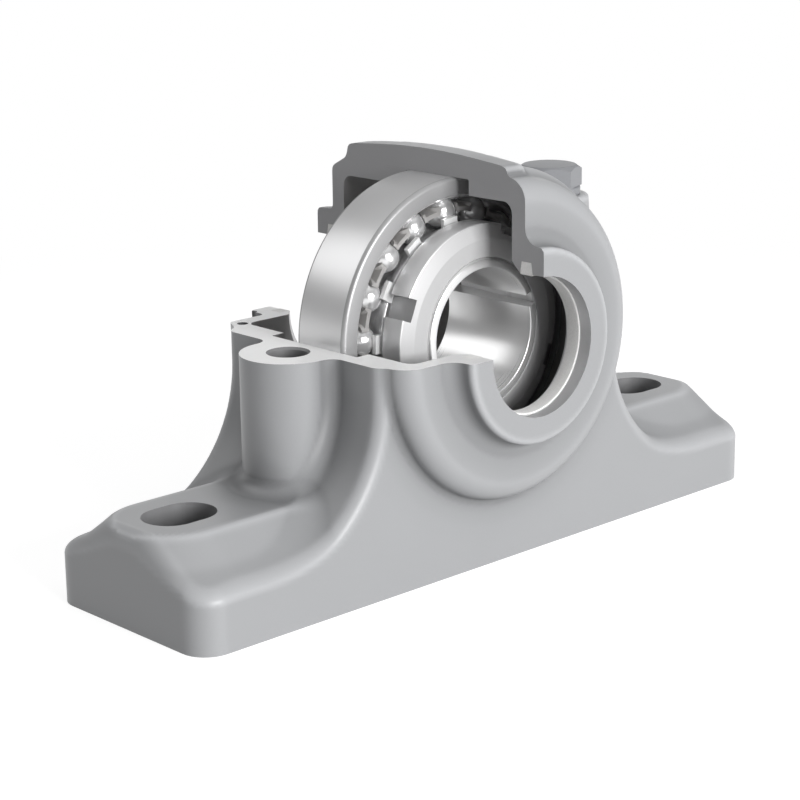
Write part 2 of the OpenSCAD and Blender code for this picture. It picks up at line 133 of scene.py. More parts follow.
room = bpy.data.worlds.new("room")
scene.world = room
room.use_nodes = True
tree = room.node_tree
tree.nodes.clear()
direction = tree.nodes.new("ShaderNodeTexCoord")
split = tree.nodes.new("ShaderNodeSeparateXYZ")
link_nodes(tree, (direction.outputs["Generated"], split.inputs[0]))
tones = []
for axis_name, steps in (("Z", UP_TONES), ("X", SIDE_TONES)):
    spread = tree.nodes.new("ShaderNodeMapRange")
    spread.inputs["From Min"].default_value = -1.0
    ramp = ramp_node(tree, steps)
    link_nodes(tree, (split.outputs[axis_name], spread.inputs["Value"]),
               (spread.outputs[0], ramp.inputs[0]))
    tones.append(ramp)
product = tree.nodes.new("ShaderNodeVectorMath")
product.operation = "MULTIPLY"
glow = tree.nodes.new("ShaderNodeBackground")
end = tree.nodes.new("ShaderNodeOutputWorld")
link_nodes(tree, (tones[0].outputs[0], product.inputs[0]), (tones[1].outputs[0], product.inputs[1]),
           (product.outputs[0], glow.inputs["Color"]), (glow.outputs[0], end.inputs["Surface"]))
print("room tones:", len(UP_TONES), "by height and", len(SIDE_TONES), "from side to side")

# %% [markdown]
# Three panels add what a glow can't. The main one stands straight in front, so the
# long front wall is the bright side. The one behind on the left draws a thin bright
# line down every left edge and a soft band over the bearing's ring. A weak card behind
# on the right gives the polished steel something to mirror. Area lights are chosen
# because their edges are soft, as those of paper screens are.

# %% Light panels
AIM_HEIGHT = 0.05


def light_panel(name, place, size, power):
    """A large soft rectangle of light that faces the block, in metres and watts."""
    data = bpy.data.lights.new(name, "AREA")
    data.shape = "RECTANGLE"
    data.size, data.size_y = size
    data.energy = power
    panel = bpy.data.objects.new(name, data)
    panel.location = place
    panel.rotation_mode = "QUATERNION"
    facing = Vector((0.0, 0.0, AIM_HEIGHT)) - Vector(place)
    panel.rotation_quaternion = facing.to_track_quat("-Z", "Y")
    scene.collection.objects.link(panel)
    print(f"{name}: {power} W")


light_panel("front_panel", (-0.05, -2.10, 0.55), (1.1, 0.8), 46.0)
light_panel("back_left_panel", (-0.95, 1.45, 1.15), (1.3, 0.9), 6.0)
light_panel("back_right_card", (1.45, 1.55, 0.62), (1.3, 0.6), 3.0)

# %% [markdown]
# The block stands on matt paper in front of white. A plain white floor would throw too
# much light up into the block, so the light that the floor throws back comes from grey
# paper. Only the camera and the mirroring steel see it lifted towards white, and it
# fades into pure white further out, so that no more than a soft shadow is left.

# %% Pale floor with a clean white distance
FLOOR_HALF = 6.0
PAPER_TONE, PAPER_LIFT = 0.45, 0.76
FADE_START, FADE_END = 0.16, 0.42

floor_mesh = bpy.data.meshes.new("floor")
floor_mesh.from_pydata([(x * FLOOR_HALF, y * FLOOR_HALF, 0.0)
                        for x, y in ((-1, -1), (1, -1), (1, 1), (-1, 1))], [], [(0, 1, 2, 3)])
floor = bpy.data.objects.new("floor", floor_mesh)
scene.collection.objects.link(floor)

floor_paper = bpy.data.materials.new("floor_paper")
floor_paper.use_nodes = True
tree = floor_paper.node_tree
tree.nodes.clear()
matt = tree.nodes.new("ShaderNodeBsdfDiffuse")
matt.inputs["Color"].default_value = (PAPER_TONE, PAPER_TONE, PAPER_TONE, 1.0)
white = tree.nodes.new("ShaderNodeEmission")
lift = tree.nodes.new("ShaderNodeEmission")
lift.inputs["Strength"].default_value = PAPER_LIFT
both = tree.nodes.new("ShaderNodeAddShader")
place = tree.nodes.new("ShaderNodeTexCoord")
reach = tree.nodes.new("ShaderNodeVectorMath")
reach.operation = "LENGTH"
fade = tree.nodes.new("ShaderNodeMapRange")
fade.interpolation_type = "SMOOTHSTEP"
fade.inputs["From Min"].default_value = FADE_START
fade.inputs["From Max"].default_value = FADE_END
path = tree.nodes.new("ShaderNodeLightPath")
seen = tree.nodes.new("ShaderNodeMath")
seen.operation = "MAXIMUM"
seen_fade = tree.nodes.new("ShaderNodeMath")
seen_fade.operation = "MULTIPLY"
lifted = tree.nodes.new("ShaderNodeMixShader")
mix = tree.nodes.new("ShaderNodeMixShader")
end = tree.nodes.new("ShaderNodeOutputMaterial")
link_nodes(tree, (matt.outputs[0], both.inputs[0]), (lift.outputs[0], both.inputs[1]),
           (place.outputs["Object"], reach.inputs[0]), (reach.outputs["Value"], fade.inputs["Value"]),
           (path.outputs["Is Camera Ray"], seen.inputs[0]), (path.outputs["Is Glossy Ray"], seen.inputs[1]),
           (seen.outputs[0], lifted.inputs[0]), (matt.outputs[0], lifted.inputs[1]),
           (both.outputs[0], lifted.inputs[2]), (fade.outputs[0], seen_fade.inputs[0]),
           (seen.outputs[0], seen_fade.inputs[1]), (seen_fade.outputs[0], mix.inputs[0]),
           (lifted.outputs[0], mix.inputs[1]), (white.outputs[0], mix.inputs[2]),
           (mix.outputs[0], end.inputs["Surface"]))
floor.data.materials.append(floor_paper)
print("floor:", 2 * FLOOR_HALF, "m wide, white from", FADE_END, "m out")

# %% [markdown]
# Two effects are shared by many finishes. The first is the fine uneven tone of cast
# or ground metal, from two sizes of noise. The second is the run of fine circles
# that a lathe or a grinding wheel leaves round the shaft. Copying their nodes into each
# material would work too, but then a change has to be made many times. As node groups
# they are built once and put out only masks, and each material adds its own share.

# %% Helpers for node groups


def group(name, inputs, outputs):
    """Empty node group with named sockets, and its two end nodes."""
    made = bpy.data.node_groups.new(name, "ShaderNodeTree")
    for label, kind, value in inputs:
        socket = made.interface.new_socket(label, in_out="INPUT", socket_type=kind)
        if value is not None:
            socket.default_value = value
    for label, kind in outputs:
        made.interface.new_socket(label, in_out="OUTPUT", socket_type=kind)
    return made, made.nodes.new("NodeGroupInput"), made.nodes.new("NodeGroupOutput")


def math_node(tree, kind, first, second):
    """Result of one operation on two inputs, each of which is a number or a socket."""
    node = tree.nodes.new("ShaderNodeMath")
    node.operation = kind
    for index, value in enumerate((first, second)):
        if isinstance(value, (int, float)):
            node.inputs[index].default_value = value
        else:
            tree.links.new(value, node.inputs[index])
    return node.outputs[0]


# %% Grain of the metal
FINE_SCALE, CLOUD_SCALE = 1500.0, 40.0

metal_grain, ins, outs = group(
    "metal_grain",
    [("Vector", "NodeSocketVector", None), ("Fine Scale", "NodeSocketFloat", FINE_SCALE),
     ("Cloud Scale", "NodeSocketFloat", CLOUD_SCALE)],
    [("Grain", "NodeSocketFloat"), ("Cloud", "NodeSocketFloat")])
fine = metal_grain.nodes.new("ShaderNodeTexNoise")
fine.inputs["Detail"].default_value = 3.0
cloud = metal_grain.nodes.new("ShaderNodeTexNoise")
cloud.inputs["Detail"].default_value = 2.0
link_nodes(metal_grain, (ins.outputs["Vector"], fine.inputs["Vector"]),
           (ins.outputs["Fine Scale"], fine.inputs["Scale"]),
           (ins.outputs["Vector"], cloud.inputs["Vector"]),
           (ins.outputs["Cloud Scale"], cloud.inputs["Scale"]),
           (fine.outputs["Fac"], outs.inputs["Grain"]), (cloud.outputs["Fac"], outs.inputs["Cloud"]))
print("metal_grain:", len(metal_grain.nodes), "nodes")

# %% Marks of the lathe
MARK_SCALE = 9000.0

lathe_marks, ins, outs = group(
    "lathe_marks",
    [("Vector", "NodeSocketVector", None), ("Scale", "NodeSocketFloat", MARK_SCALE)],
    [("Mark", "NodeSocketFloat")])
axis = lathe_marks.nodes.new("ShaderNodeVectorMath")
axis.operation = "SUBTRACT"
axis.inputs[1].default_value = (0.0, 0.0, SHAFT_HEIGHT * MM)
parts = lathe_marks.nodes.new("ShaderNodeSeparateXYZ")
flat = lathe_marks.nodes.new("ShaderNodeCombineXYZ")
radius = lathe_marks.nodes.new("ShaderNodeVectorMath")
radius.operation = "LENGTH"
join = lathe_marks.nodes.new("ShaderNodeCombineXYZ")
line = lathe_marks.nodes.new("ShaderNodeTexNoise")
line.inputs["Detail"].default_value = 2.0
link_nodes(lathe_marks, (ins.outputs["Vector"], axis.inputs[0]), (axis.outputs[0], parts.inputs[0]),
           (parts.outputs["X"], flat.inputs["X"]), (parts.outputs["Z"], flat.inputs["Z"]),
           (flat.outputs[0], radius.inputs[0]), (radius.outputs["Value"], join.inputs["X"]),
           (parts.outputs["Y"], join.inputs["Y"]), (join.outputs[0], line.inputs["Vector"]),
           (ins.outputs["Scale"], line.inputs["Scale"]), (line.outputs["Fac"], outs.inputs["Mark"]))
print("lathe_marks:", len(lathe_marks.nodes), "nodes")

# %% [markdown]
# Every metal here is one Principled shader, with its tone and roughness moved a
# little by the shared effects. On the castings the tone also carries painted light,
# from a value that the mesh carries at each point: edges are lighter as a painted
# highlight, and hollows are darker as painted shade. A texture painted by hand could do
# that, but it would have to be painted anew for each change of shape. The function takes
# the plain numbers of a finish, so that the finishes can be compared in one list.

# %% How a finish is made
TONE_SPREAD = 0.4
GRAIN_DEPTH = 0.05 * MM


def finish(name, tone, metallic, roughness, grain=0.04, cloud=0.03, marks=0.0, bump=0.0, painted_light=0.0):
    """Metal whose tone and roughness wander with grain, cloud and marks, and tone with painted light."""
    material = bpy.data.materials.new(name)
    material.use_nodes = True
    tree = material.node_tree
    shader = tree.nodes["Principled BSDF"]
    shader.inputs["Metallic"].default_value = metallic
    place = tree.nodes.new("ShaderNodeTexCoord").outputs["Object"]
    grain_node = tree.nodes.new("ShaderNodeGroup")
    grain_node.node_tree = metal_grain
    mark_node = tree.nodes.new("ShaderNodeGroup")
    mark_node.node_tree = lathe_marks
    link_nodes(tree, (place, grain_node.inputs["Vector"]), (place, mark_node.inputs["Vector"]))
    fine_part = math_node(tree, "MULTIPLY", grain_node.outputs["Grain"], grain)
    cloud_part = math_node(tree, "MULTIPLY", grain_node.outputs["Cloud"], cloud)
    mark_part = math_node(tree, "MULTIPLY", mark_node.outputs["Mark"], marks)
    wander = math_node(tree, "ADD", math_node(tree, "ADD", fine_part, cloud_part), mark_part)
    centred = math_node(tree, "SUBTRACT", wander, (grain + cloud + marks) / 2)
    shift = centred
    # Painted light: the mesh's value lightens outer edges as a painted highlight and darkens hollows as
    # painted shade
    if painted_light:
        edges = tree.nodes.new("ShaderNodeAttribute")
        edges.attribute_name = "painted_light"
        painted_light_shift = math_node(tree, "MULTIPLY", edges.outputs["Fac"], painted_light)
        shift = math_node(tree, "ADD", centred, painted_light_shift)
    colour = tree.nodes.new("ShaderNodeMix")
    colour.data_type = "RGBA"
    # A light tone spreads less, so that the mix never has to go past white
    spread = min(TONE_SPREAD, 1 / max(tone) - 1)
    colour.inputs["A"].default_value = (*(c * (1 - spread) for c in tone), 1.0)
    colour.inputs["B"].default_value = (*(c * (1 + spread) for c in tone), 1.0)
    link_nodes(tree, (math_node(tree, "ADD", shift, 0.5), colour.inputs["Factor"]),
               (colour.outputs["Result"], shader.inputs["Base Color"]),
               (math_node(tree, "ADD", centred, roughness), shader.inputs["Roughness"]))
    if bump:
        relief = tree.nodes.new("ShaderNodeBump")
        relief.inputs["Strength"].default_value = bump
        relief.inputs["Distance"].default_value = GRAIN_DEPTH
        link_nodes(tree, (wander, relief.inputs["Height"]),
                   (relief.outputs["Normal"], shader.inputs["Normal"]))
    return material


# %% [markdown]
# The casting has six finishes: grey skin where it left the mould, matt white where it
# was milled, mid grey where it is sawn, a darker grey of painted shade in the grease
# pockets, bright bores, and a dark grey of painted shade in the holes. The steel is
# ground on the rings, softer on the turned pieces, and polished on the balls. Pure
# mirror metal would show a dark room in its faces, so most of the steels are only
# partly metallic.

# %% Finishes of the castings
# The skin's tone carries painted highlights on its edges and painted shade in its hollows
casting_skin = finish("casting_skin", (0.375, 0.38, 0.39), 0.0, 0.4, grain=0.05, cloud=0.05,
                      bump=0.12, painted_light=0.5)
machined_face = finish("machined_face", (0.95, 0.95, 0.95), 0.0, 0.4, grain=0.02, cloud=0.02)
section_face = finish("section_face", (0.39, 0.39, 0.40), 0.0, 0.55, grain=0.03, cloud=0.04)
# Painted shade: the grease pockets get a darker grey for the shade inside them
pocket_painted_shade = finish("pocket_painted_shade", (0.30, 0.295, 0.295), 0.0, 0.6, grain=0.02, cloud=0.02)
bored_face = finish("bored_face", (0.70, 0.70, 0.71), 0.5, 0.35, marks=0.08)
# Painted shade: the holes get a dark grey for the shade inside them
hole_painted_shade = finish("hole_painted_shade", (0.22, 0.22, 0.225), 0.1, 0.45)
CASTING_FINISHES = [casting_skin, machined_face, section_face, pocket_painted_shade, bored_face, hole_painted_shade]
SKIN, MACHINED, SECTION, POCKET, BORED, HOLE = range(len(CASTING_FINISHES))
print("casting finishes:", [material.name for material in CASTING_FINISHES])

# %% Finishes of the steel pieces
ground_steel = finish("ground_steel", (0.80, 0.80, 0.805), 0.62, 0.34, marks=0.06)
ring_face = finish("ring_face", (0.44, 0.44, 0.445), 0.45, 0.4, marks=0.05)
turned_steel = finish("turned_steel", (0.70, 0.70, 0.705), 0.45, 0.42, marks=0.08)
nut_face = finish("nut_face", (0.54, 0.54, 0.545), 0.15, 0.5, marks=0.05)
sleeve_steel = finish("sleeve_steel", (0.92, 0.92, 0.92), 0.7, 0.28, grain=0.0, marks=0.03)
ball_polish = finish("ball_polish", (0.84, 0.84, 0.845), 0.7, 0.17, grain=0.0, cloud=0.01)
cage_sheet_steel = finish("cage_sheet_steel", (0.50, 0.49, 0.48), 0.5, 0.35)
tab_sheet_steel = finish("tab_sheet_steel", (0.86, 0.86, 0.86), 0.3, 0.4)
bolt_steel = finish("bolt_steel", (0.28, 0.285, 0.30), 0.1, 0.45, grain=0.08)
print("finishes:", len(bpy.data.materials) - 1)

# %% [markdown]
# Felt isn't metal: it is soft, matt and a little fibrous, so it gets its own
# shader with a warm white tone, a fine tangled noise and no shine. Real hairs would
# be finer still, but the strips are so thin here that a bump is enough.

# %% Felt wool
felt_wool = bpy.data.materials.new("felt_wool")
felt_wool.use_nodes = True
tree = felt_wool.node_tree
shader = tree.nodes["Principled BSDF"]
shader.inputs["Roughness"].default_value = 0.95
shader.inputs["Sheen Weight"].default_value = 0.25
place = tree.nodes.new("ShaderNodeTexCoord")
fibres = tree.nodes.new("ShaderNodeTexNoise")
fibres.inputs["Scale"].default_value = 2600.0
fibres.inputs["Detail"].default_value = 6.0
fibres.inputs["Distortion"].default_value = 1.2
tones = tree.nodes.new("ShaderNodeValToRGB")
tones.color_ramp.elements[0].position, tones.color_ramp.elements[1].position = 0.3, 0.7
tones.color_ramp.elements[0].color = (0.84, 0.835, 0.82, 1.0)
tones.color_ramp.elements[1].color = (0.96, 0.955, 0.945, 1.0)
relief = tree.nodes.new("ShaderNodeBump")
relief.inputs["Strength"].default_value = 0.5
relief.inputs["Distance"].default_value = 0.12 * MM
link_nodes(tree, (place.outputs["Object"], fibres.inputs["Vector"]),
           (fibres.outputs["Fac"], tones.inputs[0]), (tones.outputs[0], shader.inputs["Base Color"]),
           (fibres.outputs["Fac"], relief.inputs["Height"]),
           (relief.outputs["Normal"], shader.inputs["Normal"]))
print("felt_wool:", len(tree.nodes), "nodes")

# %% [markdown]
# Every finished piece goes into the scene by the same few calls. It rides on the body
# that it moves with, and takes the place of its measured solid, which is then hidden.

# %% Putting a piece in place


def place_piece(name, mesh, body, node):
    """Puts a finished mesh into the scene, on its body, in place of its solid."""
    piece = bpy.data.objects.new(name, mesh)
    scene.collection.objects.link(piece)
    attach(piece, body)
    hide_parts(node)
    print(f"{name}: {len(mesh.vertices)} points, {len(mesh.polygons)} faces")


# %% Meshes from points
SHARP_ANGLE = 35.0


def mesh_of(name, points, faces, materials, tones=None):
    """Mesh in metres from points in millimetres, smooth with sharp corners kept."""
    mesh = bpy.data.meshes.new(name)
    mesh.from_pydata((np.asarray(points, float) * MM).tolist(), [], faces)
    for material in materials:
        mesh.materials.append(material)
    if tones is not None:
        mesh.polygons.foreach_set("material_index", np.asarray(tones, np.int32))
    mesh.shade_smooth()
    mesh.set_sharp_from_angle(angle=math.radians(SHARP_ANGLE))
    return mesh


def clean_mesh(mesh, sharp=SHARP_ANGLE):
    """Joins points that fell together, and turns all faces outwards."""
    work = bmesh.new()
    work.from_mesh(mesh)
    bmesh.ops.remove_doubles(work, verts=work.verts, dist=1e-7)
    bmesh.ops.recalc_face_normals(work, faces=work.faces)
    work.to_mesh(mesh)
    work.free()
    mesh.shade_smooth()
    mesh.set_sharp_from_angle(angle=math.radians(sharp))


# %% [markdown]
# Most pieces are turned on a lathe, so one tool makes them: it takes a closed
# outline in radius and length and turns it round the shaft. Blender's Screw modifier
# could do the same, but here each stretch of the outline has to carry its own finish.
# The corners are rounded first, because a real ring has no knife edge and the small
# rounding is what catches the light. An extra rule may move a point in or out, which
# cuts a thread.

# %% Rounding an outline


def rounded(corners, steps=4):
    """Closed outline from (radius, along, rounding[, tone]) corners, and its tones."""
    points, tones = [], []
    count = len(corners)
    for i, corner in enumerate(corners):
        here = np.array(corner[:2], float)
        before = np.array(corners[i - 1][:2], float)
        after = np.array(corners[(i + 1) % count][:2], float)
        size = corner[2] if len(corner) > 2 else 0.0
        tone = corner[3] if len(corner) > 3 else 0
        if size <= 0:
            points.append(here)
            tones.append(tone)
            continue
        u = (before - here) / np.linalg.norm(before - here)
        v = (after - here) / np.linalg.norm(after - here)
        half = math.acos(max(-1.0, min(1.0, float(u @ v)))) / 2
        reach = size / math.tan(half)
        bisector = (u + v) / np.linalg.norm(u + v)
        centre = here + bisector * size / math.sin(half)
        first, last = here + u * reach - centre, here + v * reach - centre
        sweep = math.atan2(first[0] * last[1] - first[1] * last[0], float(first @ last))
        for k in range(steps + 1):
            t = sweep * k / steps
            c, s = math.cos(t), math.sin(t)
            swung = np.array([c * first[0] - s * first[1], s * first[0] + c * first[1]])
            points.append(centre + swung)
            tones.append(tone)
    return points, tones


# %% Turning an outline round the shaft


def turned_mesh(name, corners, materials, segments=192, start=0.0, sweep=360.0, shift=None, steps=4,
                end_tone=0):
    """Turns an outline round the shaft. A part turn gets two flat ends."""
    outline, tones = rounded(corners, steps)
    rows = len(outline)
    whole = abs(sweep - 360.0) < 1e-9
    columns = segments if whole else segments + 1
    angles = np.radians(start + sweep * np.arange(columns) / segments)
    outline = np.array(outline)
    radii = np.repeat(outline[:, 0][None, :], columns, 0)
    along = np.repeat(outline[:, 1][None, :], columns, 0)
    if shift is not None:
        radii = radii + shift(radii, along, np.repeat(angles[:, None], rows, 1))
    points = np.stack([radii * np.cos(angles)[:, None], along,
                       SHAFT_HEIGHT + radii * np.sin(angles)[:, None]], -1).reshape(-1, 3)
    faces, face_tones = [], []
    for j in range(segments):
        a, b = j * rows, ((j + 1) % columns) * rows
        for i in range(rows):
            k = (i + 1) % rows
            if outline[i, 0] < 1e-6 and outline[k, 0] < 1e-6:
                continue
            faces.append((a + i, a + k, b + k, b + i))
            face_tones.append(tones[i])
    if not whole:
        faces += [tuple(range(rows - 1, -1, -1)), tuple(segments * rows + i for i in range(rows))]
        face_tones += [end_tone, end_tone]
    mesh = mesh_of(name, points, faces, materials, face_tones)
    clean_mesh(mesh)
    return mesh


# %% [markdown]
# Holes, slots, bolt heads and tabs aren't turned: they are straight blocks over a flat
# outline. A block is cut out of a piece, or joined to it, by an exact Boolean. Moving
# points by hand would be quicker to compute, but it can't give the true line where a
# round hole meets a round body, and that line is what the eye follows.

# %% Blocks and outlines


def prism(name, outline, low, high, materials, tone=0):
    """Upright block over an outline in X and Y."""
    count = len(outline)
    points = [(x, y, low) for x, y in outline] + [(x, y, high) for x, y in outline]
    faces = [tuple(range(count - 1, -1, -1)), tuple(range(count, 2 * count))]
    faces += [(i, (i + 1) % count, count + (i + 1) % count, count + i) for i in range(count)]
    mesh = mesh_of(name, points, faces, materials, [tone] * len(faces))
    clean_mesh(mesh)
    return mesh


def box_round(name, radius_from, radius_to, low_y, high_y, width, angle, material):
    """Block that lies along a radius at an angle round the shaft."""
    work = bmesh.new()
    bmesh.ops.create_cube(work, size=1.0)
    shape = Matrix.Diagonal((radius_to - radius_from, high_y - low_y, width, 1.0))
    middle = Matrix.Translation(((radius_from + radius_to) / 2, (low_y + high_y) / 2, 0.0))
    turn = Matrix.Rotation(-math.radians(angle), 4, "Y")
    lifted_up = Matrix.Translation((0.0, 0.0, SHAFT_HEIGHT))
    work.transform(Matrix.Scale(MM, 4) @ lifted_up @ turn @ middle @ shape)
    mesh = bpy.data.meshes.new(name)
    work.to_mesh(mesh)
    work.free()
    mesh.materials.append(material)
    return mesh


def circle(x, y, radius, count=48):
    """Outline of a circle."""
    angles = [2 * math.pi * i / count for i in range(count)]
    return [(x + radius * math.cos(angle), y + radius * math.sin(angle)) for angle in angles]


def long_slot(x, y, length, width, count=48):
    """Outline of a slot with round ends, long along X."""
    reach = (length - width) / 2
    points = []
    for i in range(count):
        turn = 2 * math.pi * (i + 0.5) / count
        side = reach if math.cos(turn) > 0 else -reach
        points.append((x + side + width / 2 * math.cos(turn), y + width / 2 * math.sin(turn)))
    return points


def rounded_plan(length, width, radius, steps=8):
    """Outline of a rectangle with round corners, about the middle."""
    points = []
    for quarter, (sx, sy) in enumerate(((1, 1), (-1, 1), (-1, -1), (1, -1))):
        for k in range(steps + 1):
            turn = math.pi / 2 * (quarter + k / steps)
            points.append((sx * (length / 2 - radius) + radius * math.cos(turn),
                           sy * (width / 2 - radius) + radius * math.sin(turn)))
    return points


# %% Cutting and joining meshes


def carve(mesh, cutters, operation="DIFFERENCE"):
    """Cuts or joins meshes with a mesh, one after another. New faces keep the tool's finish."""
    work = bpy.data.objects.new("carving", mesh)
    scene.collection.objects.link(work)
    for cutter_mesh in cutters:
        tool = bpy.data.objects.new("tool", cutter_mesh)
        scene.collection.objects.link(tool)
        step = work.modifiers.new("cut", "BOOLEAN")
        step.operation = operation
        step.solver = "MANIFOLD"
        step.material_mode = "TRANSFER"
        step.object = tool
        shape = work.evaluated_get(bpy.context.evaluated_depsgraph_get())
        result = bpy.data.meshes.new_from_object(shape)
        work.modifiers.clear()
        if len(result.polygons) == 0:
            raise RuntimeError(f"cutting {mesh.name} with {cutter_mesh.name} left nothing")
        work.data = result
        bpy.data.objects.remove(tool)
    final = work.data
    bpy.data.objects.remove(work)
    return final


# %% [markdown]
# A casting has no sharp joints between its forms: every hollow corner is filled with
# a fillet by the pattern maker. Modelled faces would need each fillet by hand. So
# the castings start as a distance rule instead, which says how far a point lies
# from each simple form and joins the forms with round fillets. A mesh is drawn
# over the place where the rule is zero, and only then are the machined faces
# cut, as in the real workshop.

# %% Rules for joining forms


def join_round(a, b, fillet):
    """Both forms, with a hollow fillet of that radius between them."""
    u, v = np.maximum(fillet - a, 0.0), np.maximum(fillet - b, 0.0)
    return np.maximum(fillet, np.minimum(a, b)) - np.hypot(u, v)


def trim_round(a, b, edge):
    """What both forms share, with an outer rounding of that radius."""
    u, v = np.maximum(edge + a, 0.0), np.maximum(edge + b, 0.0)
    return np.minimum(-edge, np.maximum(a, b)) + np.hypot(u, v)


# %% [markdown]
# A rule can be asked for more than its zero. Its slope at a point is the surface's
# own direction there, which later gives the shading exactly, however coarse the mesh
# is. The slope also shows which way a point has to move to lie on the surface.

# %% The slope of a rule
SLOPE_REACH = 0.02
FLATTEST, LONGEST_MOVE = 0.05, 0.6


def gradient(rule, points):
    """Direction in which the rule grows fastest at each point."""
    slope = np.empty_like(points)
    for axis_index in range(3):
        step = np.zeros(3)
        step[axis_index] = SLOPE_REACH
        ahead, behind = rule(*(points + step).T), rule(*(points - step).T)
        slope[:, axis_index] = (ahead - behind) / (2 * SLOPE_REACH)
    return slope


def settle(rule, points, times):
    """Moves points onto the surface of a rule."""
    for _ in range(times):
        slope = gradient(rule, points)
        size = np.maximum((slope ** 2).sum(1), FLATTEST)
        move = -rule(*points.T)[:, None] * slope / size[:, None]
        points = points + np.clip(move, -LONGEST_MOVE, LONGEST_MOVE)
    return points


# %% [markdown]
# The mesh over a rule is found in a grid of small cubes. Each cube that the surface
# passes through gets one point, at the mean of the places where it crosses the cube's
# edges, and four cubes round a crossed edge share a face. Marching cubes is the better
# known way, but it leaves thin triangles, and those show as streaks on a smooth
# casting. A few rounds of evening out, each followed by a move back onto the surface,
# give faces of nearly the same size.

# %% Skin over a rule


def skin_over(rule, low, high, step, rounds=6):
    """Points and four-sided faces over the surface of a rule."""
    axes = [np.arange(a, b + step, step) for a, b in zip(low, high)]
    yy, zz = np.meshgrid(axes[1], axes[2], indexing="ij")
    field = np.stack([rule(np.full_like(yy, x), yy, zz) for x in axes[0]])
    inside = field < 0
    counts = np.array(field.shape) - 1
    corners = [(i, j, k) for i in (0, 1) for j in (0, 1) for k in (0, 1)]

    def part(array, corner):
        return array[corner[0]:corner[0] + counts[0], corner[1]:corner[1] + counts[1],
                     corner[2]:corner[2] + counts[2]]

    filled = sum(part(inside, c).astype(np.int8) for c in corners)
    cells = np.argwhere((filled > 0) & (filled < 8))
    number = np.full(counts, -1, np.int64)
    number[tuple(cells.T)] = np.arange(len(cells))
    total, hits = np.zeros((len(cells), 3)), np.zeros(len(cells))
    values = {c: field[tuple((cells + c).T)] for c in corners}
    for c in corners:
        for axis_index in range(3):
            if c[axis_index]:
                continue
            d = tuple(v + (n == axis_index) for n, v in enumerate(c))
            crossed = (values[c] < 0) != (values[d] < 0)
            share = np.where(crossed, values[c] / np.where(crossed, values[c] - values[d], 1), 0)
            spot = np.repeat(np.array(c, float)[None], len(cells), 0)
            spot[:, axis_index] += share
            total += spot * crossed[:, None]
            hits += crossed
    points = (cells + total / hits[:, None]) * step + np.array(low)
    faces = []
    for axis_index in range(3):
        j, k = (axis_index + 1) % 3, (axis_index + 2) % 3
        near = np.take(inside, range(0, counts[axis_index]), axis_index)
        far = np.take(inside, range(1, counts[axis_index] + 1), axis_index)
        for turned_out, mask in ((False, near & ~far), (True, ~near & far)):
            spots = np.argwhere(mask)
            offset_j, offset_k = np.zeros(3, int), np.zeros(3, int)
            offset_j[j], offset_k[k] = 1, 1
            quad = np.stack([number[tuple((spots - a).T)] for a in
                             (offset_j + offset_k, offset_k, np.zeros(3, int), offset_j)], 1)
            faces.append(quad[:, ::-1] if turned_out else quad)
    faces = np.concatenate(faces)
    edges = np.concatenate([faces[:, [i, (i + 1) % 4]] for i in range(4)])
    for _ in range(rounds):
        sums, near_count = np.zeros_like(points), np.zeros(len(points))
        for a, b in ((0, 1), (1, 0)):
            np.add.at(sums, edges[:, a], points[edges[:, b]])
            np.add.at(near_count, edges[:, a], 1)
        points = settle(rule, 0.5 * points + 0.5 * sums / near_count[:, None], 1)
    return settle(rule, points, 2), faces


# %% [markdown]
# A casting's outer edges get a painted highlight and its hollows painted shade. Both
# are measured from the rule. How sharply it bends is found by comparing it close round
# a point with its value there. The shade looks outwards from the surface at three
# distances, and where the rule grows less than the distance, the casting closes in.
# The two make one value of painted light at each point, which the skin's finish reads.
# Light sampled by the renderer would be a truer shade, but it can't be kept with the
# mesh so simply.

# %% Painted highlight and shade from a casting's form
BEND_REACH, BEND_SCALE, SHADE_SCALE = 1.2, 1.5, 1.8
SHADE_LOOKS = ((5.0, 0.35), (12.0, 0.35), (26.0, 0.3))


def bend_of(rule, points):
    """How sharply the surface bends: above 0 on an outer edge, below 0 in a hollow."""
    total = -6 * rule(*points.T)
    for axis_index in range(3):
        step = np.zeros(3)
        step[axis_index] = BEND_REACH
        total += rule(*(points + step).T) + rule(*(points - step).T)
    return total / BEND_REACH ** 2


def shade_of(rule, points, normals):
    """How far the casting itself closes in over each point, from 0 in the open to 1."""
    total = 0.0
    for reach, share in SHADE_LOOKS:
        open_way = rule(*(points + normals * reach).T) / reach
        total = total + share * np.clip(1.0 - open_way, 0.0, 1.0)
    return total


# %% From rule to finished casting
MILLED_ANGLE = 30.0


